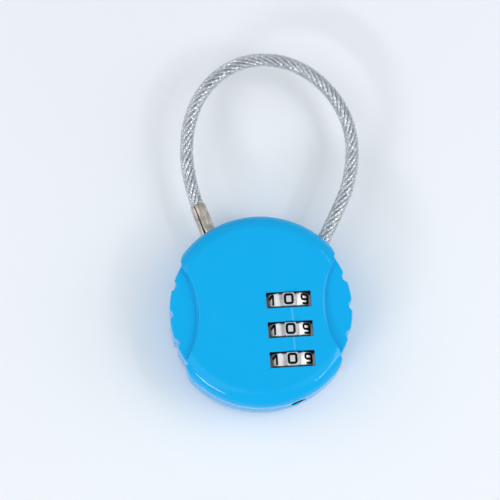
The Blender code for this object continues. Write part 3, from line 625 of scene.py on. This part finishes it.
def path_curve(name, points, cyclic=False):
    curve = bpy.data.curves.new(name, "CURVE")
    curve.dimensions = "3D"
    line = curve.splines.new("POLY")
    line.points.add(len(points) - 1)
    for point, where in zip(line.points, points):
        point.co = (*where, 1)
    line.use_cyclic_u = cyclic
    return linked(name, curve)


def joined(name, parts, sharp=35):
    """Several objects' meshes as one."""
    bm = bmesh.new()
    paints = []
    for part in parts:
        first = len(bm.faces)
        bm.from_mesh(part.data)
        bm.faces.ensure_lookup_table()
        for paint in part.data.materials:
            if paint not in paints:
                paints.append(paint)
        for face in bm.faces[first:]:
            face.material_index = paints.index(part.data.materials[face.material_index])
        bpy.data.objects.remove(part)
    mesh = bpy.data.meshes.new(name)
    bm.to_mesh(mesh)
    bm.free()
    shade(mesh, sharp)
    coat(mesh, *paints)
    return as_object(name, mesh)


def rope(fine):
    """Six laid strands round a straight core strand."""
    tree = rope_tree()
    line = run_of(fine, 0.0, 0.0, 0.5 * mm)
    outer = with_nodes(path_curve("strands", line), tree, Strands=6, Lay=11.5 * mm,
                       Helix_Radius=0.76 * mm, Strand_Radius=0.41 * mm, Wire_Lay=5.2 * mm,
                       Wire_Groove=0.26, Step=0.36 * mm, Finish=ZINC)
    core = with_nodes(path_curve("core", line), tree, Strands=1, Helix_Radius=0.0,
                      Strand_Radius=0.4 * mm, Wire_Lay=6 * mm, Step=1.2 * mm, Finish=ZINC)
    bpy.context.view_layer.update()
    return joined("laid_strands", [plain(outer, 60), plain(core, 60)], 60)


def sheath(fine):
    """Clear vinyl moulded on round the strands, its ends rolled in."""
    line = run_of(fine, 5.86 * mm, 5.1 * mm, 0.8 * mm)
    ends = [(SHEATH_BORE, 0.0)] + [
        (SHEATH_R - SHEATH_END * (1 - sin(a)), SHEATH_END * (1 - cos(a)))
        for a in (0.0, pi / 4, pi / 2)]
    rings = []
    for n, point in enumerate(line):
        ahead = (line[min(n + 1, len(line) - 1)] - line[max(n - 1, 0)]).normalized()
        aside = ahead.cross(Vector((0, 0, 1))).normalized()
        steps = [(SHEATH_R, 0.0)]
        if n == 0:
            steps = ends
        elif n == len(line) - 1:
            steps = [(radius, -along) for radius, along in reversed(ends)]
        for radius, along in steps:
            middle = point + ahead * along
            rings.append([middle + aside * radius * cos(2 * pi * k / 32)
                          + Vector((0, 0, radius * sin(2 * pi * k / 32))) for k in range(32)])
    return lofted("clear_sheath", rings, VINYL, 70), line


def ferrule():
    """Rolled sheet with an open seam, crimp dents and a slightly flared root."""
    rows = 44
    columns = 64
    rings = []
    for k in range(rows + 1):
        y = -FERRULE_IN + (FERRULE_OUT + FERRULE_IN) * k / rows
        low = 1 - max(0.0, min(1.0, y / FERRULE_OUT))
        half = (SEAM_HALF + SEAM_OPENS * low) * mm / FERRULE_R
        mouth = max(0.0, 1 - (FERRULE_OUT - y) / ROLL)
        flare = FLARE * max(0.0, 1 - max(0.0, y) / FLARE_END) ** 2 if y > 0 else 0.0
        outer = []
        inner = []
        for n in range(columns + 1):
            angle = SEAM_AT - half - (2 * pi - 2 * half) * n / columns
            radius = FERRULE_R + flare - MOUTH_DROP * mouth ** 2
            for at_angle, at_y, wide, long, deep in CRIMPS:
                turn = (angle - at_angle + pi) % (2 * pi) - pi
                far = (turn / wide) ** 4 + ((y - at_y) / long) ** 4
                radius -= deep / (1 + far ** 2)
            edge = min(n, columns - n) / columns * 2 * pi * FERRULE_R
            radius -= SEAM_LIP * max(0.0, 1 - edge / ROLL) ** 2
            outer.append(Vector((radius * cos(angle), y, radius * sin(angle))))
            bore = min(FERRULE_BORE, radius - LEAST_SHEET)
            inner.append(Vector((bore * cos(angle), y, bore * sin(angle))))
        rings.append(outer + inner[::-1])
    made = lofted("rolled_ferrule", rings, NICKEL, 50)
    soft = made.modifiers.new("edges", "BEVEL")
    soft.width = 0.06 * mm
    soft.segments = 2
    soft.limit_method = "ANGLE"
    soft.angle_limit = radians(50)
    bpy.context.view_layer.update()
    return put(plain(made, 60), PLUG_AT, PLUG_LEAN)


fine_route = route()
strands = rope(fine_route)
tube, tube_line = sheath(fine_route)
crimped = ferrule()


# ---- covers ----
class Half:
    """The heights of one cover. Its sign points from the parting face to its own face."""

    def __init__(self, node_name, face_z, sign, face_wall, recess):
        self.node = node_name
        self.sign = sign
        self.face_z = face_z
        self.recess = recess
        self.wall_z = PARTING_Z + sign * PARTING_GAP / 2
        self.wall_depth = abs(face_z - self.wall_z)
        self.deep_z = face_z - sign * face_wall
        self.shelf_z = self.deep_z - sign * SHELF_DROP


def fold(angle):
    """The angle from the nearer of +X and -X."""
    return (angle + pi / 2) % pi - pi / 2


def grip_radius(angle):
    """Outer radius: the rim, or the notched grip, with a steep step between them."""
    aside = abs(fold(angle))
    if aside > GRIP_HALF + GRIP_STEP:
        t = min(1.0, (aside - GRIP_HALF - GRIP_STEP) / GRIP_EASE)
        return GRIP_END_R + (BODY_R - GRIP_END_R) * sin(pi / 2 * t)
    if aside > GRIP_HALF:
        t = (aside - GRIP_HALF) / GRIP_STEP
        return GRIP_R + (GRIP_END_R - GRIP_R) * t * t * (3 - 2 * t)
    radius = GRIP_R
    for notch in (-1, 0, 1):
        off = abs(fold(angle) - notch * NOTCH_PITCH)
        if off < NOTCH_HALF:
            radius -= NOTCH_DEPTH * (1 - (off / NOTCH_HALF) ** 2) ** 0.9
    return radius


def recess_radius(angle):
    """Where the recess's inner arc, through both ends of the grip, crosses this direction."""
    sagitta = BODY_R * cos(GRIP_HALF) - RECESS_X
    radius = ((BODY_R * sin(GRIP_HALF)) ** 2 + sagitta ** 2) / (2 * sagitta)
    middle = RECESS_X + radius
    reach = middle * cos(fold(angle))
    under = reach ** 2 - middle ** 2 + radius ** 2
    return reach - sqrt(under) if under > 0 else BODY_R * 2


def shoulder_turn(radius):
    """How steeply the shoulder falls at a radius."""
    share = max(0.0, (radius - FACE_R) / (BODY_R - FACE_R))
    return asin(min(1.0, sin(FACE_BREAK) + share * (1 - sin(FACE_BREAK))))


def shoulder_depth(radius):
    """Depth of the face and shoulder below the face's plane."""
    if radius <= FACE_R:
        return 0.0
    return SHOULDER_H * (1 - cos(shoulder_turn(radius)) / cos(FACE_BREAK))


def quarter_round(steps, first=1):
    """Pairs of sine and 1 - cosine over a quarter turn."""
    turns = [pi / 2 * n / steps for n in range(first, steps + 1)]
    return [(sin(turn), 1 - cos(turn)) for turn in turns]


def face_points(top_end):
    """(radius, depth) points over the face, and over the shoulder if it reaches that far."""
    if top_end <= FACE_R:
        flat_end = (FLAT_START + top_end) / 2
        run = [(flat_end + (top_end - flat_end) * (n + 1) / (FACE_STEPS + 1), 0.0)
               for n in range(FACE_STEPS + 1)]
        return [(FLAT_START, 0.0), (flat_end, 0.0)] + run
    last_turn = shoulder_turn(top_end)
    run = []
    for n in range(FACE_STEPS + 1):
        turn = FACE_BREAK + (last_turn - FACE_BREAK) * n / FACE_STEPS
        share = (sin(turn) - sin(FACE_BREAK)) / (1 - sin(FACE_BREAK))
        radius = FACE_R + (BODY_R - FACE_R) * share
        run.append((radius, shoulder_depth(radius) + (CREASE_DROP if n == 0 else 0.0)))
    return [(FLAT_START, 0.0), (FACE_R - CREASE_SOFT, 0.0)] + run


def column(angle, half):
    """(radius, depth) points from the flat, over the step and the rim, to the parting face.
    Every column has as many points as the next."""
    rim = grip_radius(angle)
    step_at = recess_radius(angle)
    in_grip = max(0.0, min(1.0, (GRIP_END_R - rim) / (GRIP_END_R - GRIP_R)))
    edge = LEAST_EDGE + EDGE_ROUND * in_grip
    if step_at < rim - STEP_LEAST and half.recess > shoulder_depth(step_at):
        soft = min(STEP_ROUND, (half.recess - shoulder_depth(step_at)) * STEP_SHARE)
        top_end = step_at - soft
        points = face_points(top_end)
        start = shoulder_depth(top_end)
        points += [(top_end + soft * out, start + soft * down)
                   for out, down in quarter_round(4)]
        points += [(step_at + soft * out, half.recess - soft * (1 - down))
                   for down, out in quarter_round(4, 0)]
        rim_depth = max(half.recess, shoulder_depth(rim - edge))
        last = points[-1]
        points.append(((last[0] + rim - edge) / 2, (last[1] + rim_depth) / 2))
        points.append((rim - edge, rim_depth))
    else:
        points = face_points(rim - edge)
        before, last = points[-2:]
        rim_depth = last[1]
        points[-1:] = [(before[0] + (last[0] - before[0]) * n / NO_STEP_POINTS,
                        before[1] + (last[1] - before[1]) * n / NO_STEP_POINTS)
                       for n in range(1, NO_STEP_POINTS + 1)]
    points += [(rim - edge * (1 - out), rim_depth + edge * down)
               for out, down in quarter_round(5)]
    for back, above in PARTING_EDGE:
        points.append((rim - back * mm, half.wall_depth - above * mm))
    return points


def column_angles():
    """Directions of the columns: close together over the grips, wider elsewhere."""
    at_step, on_grip, elsewhere = COLUMN_TURNS
    quarter = []
    angle = 0.0
    while angle < pi / 2 - radians(0.5):
        quarter.append(angle)
        if abs(angle - GRIP_HALF - GRIP_STEP / 2) < radians(0.7):
            angle += radians(at_step)
        else:
            angle += radians(on_grip if angle < GRIP_HALF + GRIP_EASE else elsewhere)
    quarter.append(pi / 2)
    half = quarter + [pi - a for a in reversed(quarter[1:-1])]
    return half + [a + pi for a in half]


def outer_solid(name, half):
    """The cover's outside, filled in down to the parting face."""
    angles = column_angles()
    columns = [column(a, half) for a in angles]
    rings = [[(radius * cos(a), radius * sin(a), half.face_z - half.sign * depth)
              for a, (radius, depth) in zip(angles, row)] for row in zip(*columns)]
    return lofted(name, rings, BLUE)


def prism(name, outline, low, high, up="Z"):
    """An outline of (x, y) points pulled along Z, or of (x, z) points pulled along Y."""
    return lofted(name, [[(a, b, at) if up == "Z" else (a, at, b) for a, b in outline]
                         for at in (low, high)])


def inside_core(half):
    """A solid just larger than the cavity, so that its skin runs inside the walls."""
    wide = []
    middle = []
    for n in range(CORE_SIDES):
        angle = 2 * pi * n / CORE_SIDES
        near_grip = abs(fold(angle)) < GRIP_HALF + radians(3)
        radius = (GRIP_R - NOTCH_DEPTH if near_grip else BODY_R) - WALL + CORE_MORE
        x = radius * cos(angle)
        y = radius * sin(angle)
        limit = RECESS_X - WALL + CORE_MORE
        wide.append((x, y))
        middle.append((max(-limit, min(limit, x)), y))
    past = half.wall_z - half.sign * mm
    more = half.sign * CORE_MORE
    core = prism(f"{half.node}_core", wide, *sorted((past, half.shelf_z + more)))
    deep = prism(f"{half.node}_deep_core", middle, *sorted((past, half.deep_z + more)))
    return boolean(core, "UNION", deep)


def cad_copy(name):
    """A merged copy of a frame node."""
    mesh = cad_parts[name].data.copy()
    made = as_object(f"{name}_copy", mesh)
    clean(mesh)
    return made


def window_cutter(word):
    """A rectangle through the face, with a chamfer round its upper edge."""
    x, y = DIAL_X, DIAL_Y[word]
    rings = []
    for z, more in ((BODY_T - 1.35 * mm, 0.0), (BODY_T - WINDOW_EDGE, 0.0), (BODY_T, WINDOW_EDGE),
                    (BODY_T + 2 * mm, WINDOW_EDGE)):
        wide = WINDOW_W / 2 + more
        tall = WINDOW_H / 2 + more
        rings.append([(x + a * wide, y + b * tall, z) for a, b in CORNERS])
    return lofted(f"{word}_window", rings)


def hump():
    """The low ridge over the dials that the bars between windows are cut from: a long gentle
    flank on its left, a small round crest, and a short steep flank on its right."""
    left = DIAL_X - HUMP_LEFT
    root = BODY_T - 0.5 * mm
    foot = BODY_T - HUMP_SINK
    outline = [(left, root), (left, foot)]
    low = atan2(HUMP_H, HUMP_LEFT + HUMP_CREST)
    crest = Vector((DIAL_X + HUMP_CREST, BODY_T + HUMP_H - HUMP_ROUND))
    for n in range(9):
        turn = pi / 2 + low - (low + HUMP_STEEP) * n / 8
        outline.append((crest.x + HUMP_ROUND * cos(turn), crest.y + HUMP_ROUND * sin(turn)))
    last = outline[-1]
    right = last[0] + (last[1] - foot) / tan(HUMP_STEEP)
    outline += [(right, foot), (right, root)]
    inset = WINDOW_H / 3
    return prism("hump", outline, DIAL_Y["bottom"] + inset, DIAL_Y["top"] - inset, "Y")


def rim_cutters(half):
    """Fine bores through the rim for the plug, the cable and the reset tool."""
    tools = []
    for word, radius, at, turn in (("plug", FERRULE_R + BORE_ROOM, PLUG_AT, PLUG_LEAN),
                                   ("cable", SHEATH_R + BORE_ROOM, CABLE_AT, CABLE_LEAN)):
        wide = radius + BORE_FLARE
        profile = [(radius, -3 * mm), (radius, -0.25 * mm), (wide, 0.65 * mm), (wide, 3 * mm)]
        tools.append(put(lathe_y(f"{half.node}_{word}_bore", profile), at, turn))
    mouth = -sqrt(BODY_R ** 2 - RESET_X ** 2)
    wide = RESET_R + RESET_BEVEL
    profile = [(wide, mouth - 2 * mm), (wide, mouth - RESET_BEVEL / 2),
               (RESET_R, mouth + RESET_BEVEL / 2), (RESET_R, mouth + 2.3 * mm)]
    hole = lathe_y(f"{half.node}_reset_bore", profile)
    tools.append(put(hole, Vector((RESET_X, 0, DIAL_Z))))
    return tools


def is_inside(point, half):
    """Whether a point of a cover is in the reset bore or clearly below the outer surface."""
    radius = sqrt(point.x ** 2 + point.y ** 2)
    angle = atan2(point.y, point.x)
    reach = RESET_R + RESET_BEVEL / 2
    by_bore = abs(point.x - RESET_X) < reach and abs(point.z - DIAL_Z) < reach
    if by_bore and point.y < 0 and radius < BODY_R - 0.08 * mm:
        return True
    depth = half.recess if radius > recess_radius(angle) else shoulder_depth(radius)
    below = half.sign * (half.face_z - point.z)
    return below > depth + SKIN and radius < grip_radius(angle) - SKIN


def keep_flats_flat(mesh):
    """Marks the border of every level face sharp, so that its shading stays level."""
    bm = bmesh.new()
    bm.from_mesh(mesh)
    for line in bm.edges:
        if len(line.link_faces) == 2:
            level = [abs(f.normal.z) > LEVEL for f in line.link_faces]
            if level[0] != level[1]:
                line.smooth = False
    bm.to_mesh(mesh)
    bm.free()


def posts(top):
    return [put(prism(f"post_{n}", circle(POST_R, 24), POST_END_Z, top), Vector((x, y, 0)) * mm)
            for n, (x, y) in enumerate(POSTS)]


def fine_cover(name, half):
    """Fine outside, the frame cover's inside, windows and bores, and the front cover's posts."""
    shell = outer_solid(name, half)
    if half.sign > 0:
        shell = boolean(shell, "UNION", hump())
    void = boolean(inside_core(half), "DIFFERENCE", cad_copy(half.node))
    tools = [void] + rim_cutters(half)
    if half.sign > 0:
        tools += [window_cutter(word) for word in DIAL_Y]
    shell = boolean(shell, "DIFFERENCE", *tools)
    if half.sign > 0:
        shell = boolean(shell, "UNION", *posts(half.wall_z + mm))
    # painted shade: faces in the reset bore or below the outer surface get the near-black colour
    coat(shell.data, BLUE, CAVITY_SHADE)
    for face in shell.data.polygons:
        face.material_index = 1 if is_inside(face.center, half) else 0
    keep_flats_flat(shell.data)
    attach(shell, "housing")
    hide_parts(half.node)
    return shell


# ---- dials ----
def wheel_tree():
    """A wheel with flat pads and a rounded groove between each two, from a sheet of points."""
    group, given, result = geometry_group(
        "padded_wheel",
        [("Pads", WHOLE, 10), ("Radius", FLOAT, 0.0064), ("Width", FLOAT, 0.0033),
         ("Groove Depth", FLOAT, 0.0011), ("Pad Share", FLOAT, 0.61), ("Squareness", FLOAT, 0.16),
         ("Around", WHOLE, 361), ("Across", WHOLE, 33)])
    sheet = node(group, "GeometryNodeMeshGrid", {"Size X": 1.0, "Size Y": 1.0,
                 "Vertices X": given["Around"], "Vertices Y": given["Across"]})
    at = position(group)[1]
    around = times(group, at[0], 2 * pi)
    across = times(group, at[1], pi)
    half_pitch = math(group, "DIVIDE", pi, given["Pads"])
    off = math(group, "PINGPONG", around, half_pitch)
    pad_end = times(group, half_pitch, given["Pad Share"])
    on_pad = math(group, "MINIMUM", off, pad_end)
    crown = math(group, "DIVIDE", times(group, given["Radius"], PAD_CROWN),
                 math(group, "COSINE", on_pad))
    into = math(group, "DIVIDE", math(group, "SUBTRACT", off, on_pad),
                math(group, "SUBTRACT", half_pitch, pad_end))
    dip = times(group, math(group, "SINE", times(group, into, pi / 2)), given["Groove Depth"])
    radius = math(group, "SUBTRACT", crown, dip)
    level = math(group, "SUBTRACT", math(group, "COSINE", across), 0.00001)
    out = math(group, "POWER", math(group, "MAXIMUM", level, 0.0), given["Squareness"])
    rise = math(group, "SINE", across)
    side = times(group, math(group, "SIGN", rise),
                 math(group, "POWER", math(group, "ABSOLUTE", rise), given["Squareness"]))
    reach = times(group, radius, out)
    y = times(group, side, math(group, "DIVIDE", given["Width"], 2.0))
    where = node(group, "ShaderNodeCombineXYZ",
                 {0: times(group, reach, math(group, "SINE", around)), 1: y,
                  2: times(group, reach, math(group, "COSINE", around))}).outputs[0]
    noted = node(group, "GeometryNodeStoreNamedAttribute", {"Geometry": sheet,
                 "Name": "groove", "Value": into}, data_type="FLOAT", domain="POINT")
    placed = node(group, "GeometryNodeSetPosition", {"Geometry": noted,
                  "Position": where})
    closed = node(group, "GeometryNodeMergeByDistance", {"Geometry": placed,
                  "Distance": 0.000002})
    return painted(group, closed, given, result)


def stroke_tree():
    """A flat printed stroke along a path, with its corners rounded."""
    group, given, result = geometry_group(
        "printed_stroke",
        [("Stroke", FLOAT, 0.0005), ("Thickness", FLOAT, 0.0001), ("Corner", FLOAT, 0.0004)])
    soft = node(group, "GeometryNodeFilletCurve", {"Curve": given["Geometry"], "Count": 5,
                "Radius": given["Corner"], "Limit Radius": True}, mode="POLY")
    level = node(group, "GeometryNodeSetCurveNormal", {"Curve": soft}, mode="Z_UP")
    nib = node(group, "GeometryNodeCurvePrimitiveQuadrilateral", {"Width": given["Stroke"],
               "Height": given["Thickness"]}, mode="RECTANGLE")
    line = node(group, "GeometryNodeCurveToMesh", {"Curve": level,
                "Profile Curve": nib, "Fill Caps": True})
    return painted(group, line, given, result)


# each figure's strokes in a box one wide and one tall; True closes the stroke
STROKES = {
    0: [([(0, 0), (1, 0), (1, 1), (0, 1)], True)],
    1: [([(0.0, 0.6), (0.45, 1.0), (0.6, 1.04), (0.6, -0.1)], False)],
    2: [([(0, 0.75), (0, 1), (1, 1), (1, 0.55), (0, 0), (1.1, 0)], False)],
    3: [([(0, 1), (1, 1), (1, 0.52), (0.35, 0.52)], False),
        ([(0.5, 0.52), (1, 0.52), (1, 0), (0, 0)], False)],
    4: [([(0.78, -0.1), (0.78, 1), (0, 0.3), (1.1, 0.3)], False)],
    5: [([(1, 1), (0.05, 1), (0.05, 0.56), (1, 0.56), (1, 0), (0, 0)], False)],
    6: [([(0.9, 1), (0, 1), (0, 0), (1, 0), (1, 0.54), (0.1, 0.54)], False)],
    7: [([(0, 1), (1, 1), (0.35, -0.1)], False)],
    8: [([(0, 0), (1, 0), (1, 0.52), (0, 0.52)], True),
        ([(0.06, 0.52), (0.94, 0.52), (0.94, 1), (0.06, 1)], True)],
    9: [([(0.1, 0), (1, 0), (1, 1), (0, 1), (0, 0.46), (0.9, 0.46)], False)],
}


def figures():
    """The ten figures of one wheel, each on its pad, as one mesh about the wheel's middle."""
    tree = stroke_tree()
    parts = []
    for figure, strokes in STROKES.items():
        for n, (path, closed) in enumerate(strokes):
            points = [((x - 0.5) * FIGURE_W, (y - 0.5) * FIGURE_H, 0) for x, y in path]
            corner = CRISP_CORNER if figure in CRISP_FIGURES else ROUND_CORNER
            line = with_nodes(path_curve(f"figure_{figure}_{n}", points, closed), tree,
                              Stroke=FIGURE_STROKE, Thickness=FIGURE_THICKNESS, Corner=corner,
                              Finish=INK)
            bpy.context.view_layer.update()
            flat = plain(line, 30)
            turn = Matrix.Rotation(-figure * 2 * pi / FIGURES, 4, "Y")
            rise = Matrix.Translation((0, 0, DIAL_R * PAD_CROWN - 0.01 * mm))
            flat.data.transform(turn @ rise)
            parts.append(flat)
    return joined("figures", parts)


def toothed():
    """One tooth space for each figure, as (x, z) points."""
    points = []
    for n in range(FIGURES):
        middle = -pi / 2 + n * 2 * pi / FIGURES
        for radius, off in ((TOOTH_ROOT, -TOOTH_ROOT_HALF), (TOOTH_TIP, -TOOTH_TIP_HALF),
                            (TOOTH_TIP, TOOTH_TIP_HALF), (TOOTH_ROOT, TOOTH_ROOT_HALF)):
            points.append((radius * cos(middle + off), radius * sin(middle + off)))
    return points


def dials():
    """Plated wheels with a toothed bore, and their black figures."""
    seed = path_curve("wheel", [(0, 0, 0), (0, mm, 0)])
    with_nodes(seed, wheel_tree(), Pads=FIGURES, Radius=DIAL_R, Width=DIAL_W, Finish=PLATE)
    bpy.context.view_layer.update()
    wheel = plain(seed, 40)
    bore = lathe_y("wheel_bore", [(DIAL_BORE, -DIAL_W / 2 + 1.3 * mm), (DIAL_BORE, DIAL_W)])
    spaces = prism("wheel_teeth", toothed(), -DIAL_W, DIAL_W, "Y")
    wheel = boolean(wheel, "DIFFERENCE", bore, spaces)
    coat(wheel.data, PLATE)
    one_set = figures()
    for word, y in DIAL_Y.items():
        at = Vector((DIAL_X, y, DIAL_Z))
        made = put(as_object(f"numbered_wheel_{word}", wheel.data.copy()), at)
        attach(made, f"dial_{word}")
        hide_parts(f"dial_wheel_{word}")
        ink = put(as_object(f"figures_{word}", one_set.data.copy()), at)
        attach(ink, f"dial_{word}")
    bpy.data.objects.remove(wheel)
    bpy.data.objects.remove(one_set)


# ---- finishing ----
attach(crimped, "plug")
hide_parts("plug_ferrule")
for piece, node_name, word in ((strands, "wire_rope", "rope_zinc"),
                               (tube, "rope_sheath", "sheath_clear")):
    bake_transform(piece)
    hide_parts(node_name)

fine_cover("moulded_front", Half("front_cover", BODY_T, 1, FRONT_WALL, FRONT_RECESS))
fine_cover("moulded_back", Half("back_cover", 0.0, -1, BACK_WALL, BACK_RECESS))
dials()

for finish, names in (
        (STEEL, ("lever_pin", "lock_spring", "anchor_sleeve", "spring_washer", "spindle",
                 "latch_lever", "reset_plunger", "plug_pin")),
        (BRASS, ("detent_spring",)),
        (ACETAL, ("code_sleeve_top", "code_sleeve_middle", "code_sleeve_bottom"))):
    for node_name in names:
        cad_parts[node_name].material_slots[0].material = finish


# ---- floor and light ----
def table_top():
    """A wide pale sheet just under the lock."""
    made, tree, shader, place = new_material("pale_table", Specular_IOR_Level=0.2)
    cloud = node(tree, "ShaderNodeTexNoise", {"Vector": place, "Scale": 6.0, "Detail": 2.0})
    tone = mixed(tree, ramp(tree, cloud, 0.3, 0.7), (0.875, 0.9, 0.935, 1),
                 (0.885, 0.91, 0.945, 1))
    tree.links.new(tone, shader["Base Color"])
    tree.links.new(ramp(tree, cloud, 0.3, 0.7, 0.6, 0.7), shader["Roughness"])
    half = 1.5
    low = -0.05 * mm
    mesh = bpy.data.meshes.new("table_top")
    mesh.from_pydata([(a * half, b * half, low) for a, b in CORNERS], [], [(0, 1, 2, 3)])
    as_object("table_top", mesh, made)


def soft_box(name, tilt, heading, distance, size, share):
    """An area light aimed at the lock, from its tilt off the vertical and its heading from +X,
    its first side level. Its share is of the light that makes a white floor white."""
    lean = radians(tilt)
    turn = radians(heading)
    aim = Vector((0.0, 0.015, 0.0))
    way = Vector((sin(lean) * cos(turn), sin(lean) * sin(turn), cos(lean)))
    data = bpy.data.lights.new(name, "AREA")
    data.shape = "RECTANGLE"
    data.size, data.size_y = size
    data.energy = share * pi ** 2 * distance ** 2 / cos(lean)
    data.color = (1.0, 0.985, 0.98)
    made = linked(name, data)
    made.location = aim + way * distance
    made.rotation_euler = way.to_track_quat("Z", "Y").to_euler()


def lights():
    world = bpy.data.worlds.new("studio")
    bpy.context.scene.world = world
    world.use_nodes = True
    sky = world.node_tree.nodes["Background"].inputs
    fill(world.node_tree, sky, {"Color": (0.88, 0.96, 1.0, 1), "Strength": 0.46})
    soft_box("key", 60, -4, 0.6, (0.42, 0.42), 0.15)
    soft_box("side_strip", 36, 14, 0.6, (0.5, 0.03), 0.06)
    soft_box("over_left", 32, -155, 0.8, (0.7, 0.7), 0.13)
    soft_box("over_right", 32, -15, 0.8, (0.7, 0.7), 0.06)
    soft_box("front_left", 65, -131, 0.6, (0.25, 0.03), 0.1)
    soft_box("front_right", 52, -31, 0.6, (0.28, 0.025), 0.05)
    soft_box("fill", 50, 160, 0.6, (0.4, 0.4), 0.1)
    bpy.context.scene.view_settings.view_transform = "Standard"


table_top()
lights()
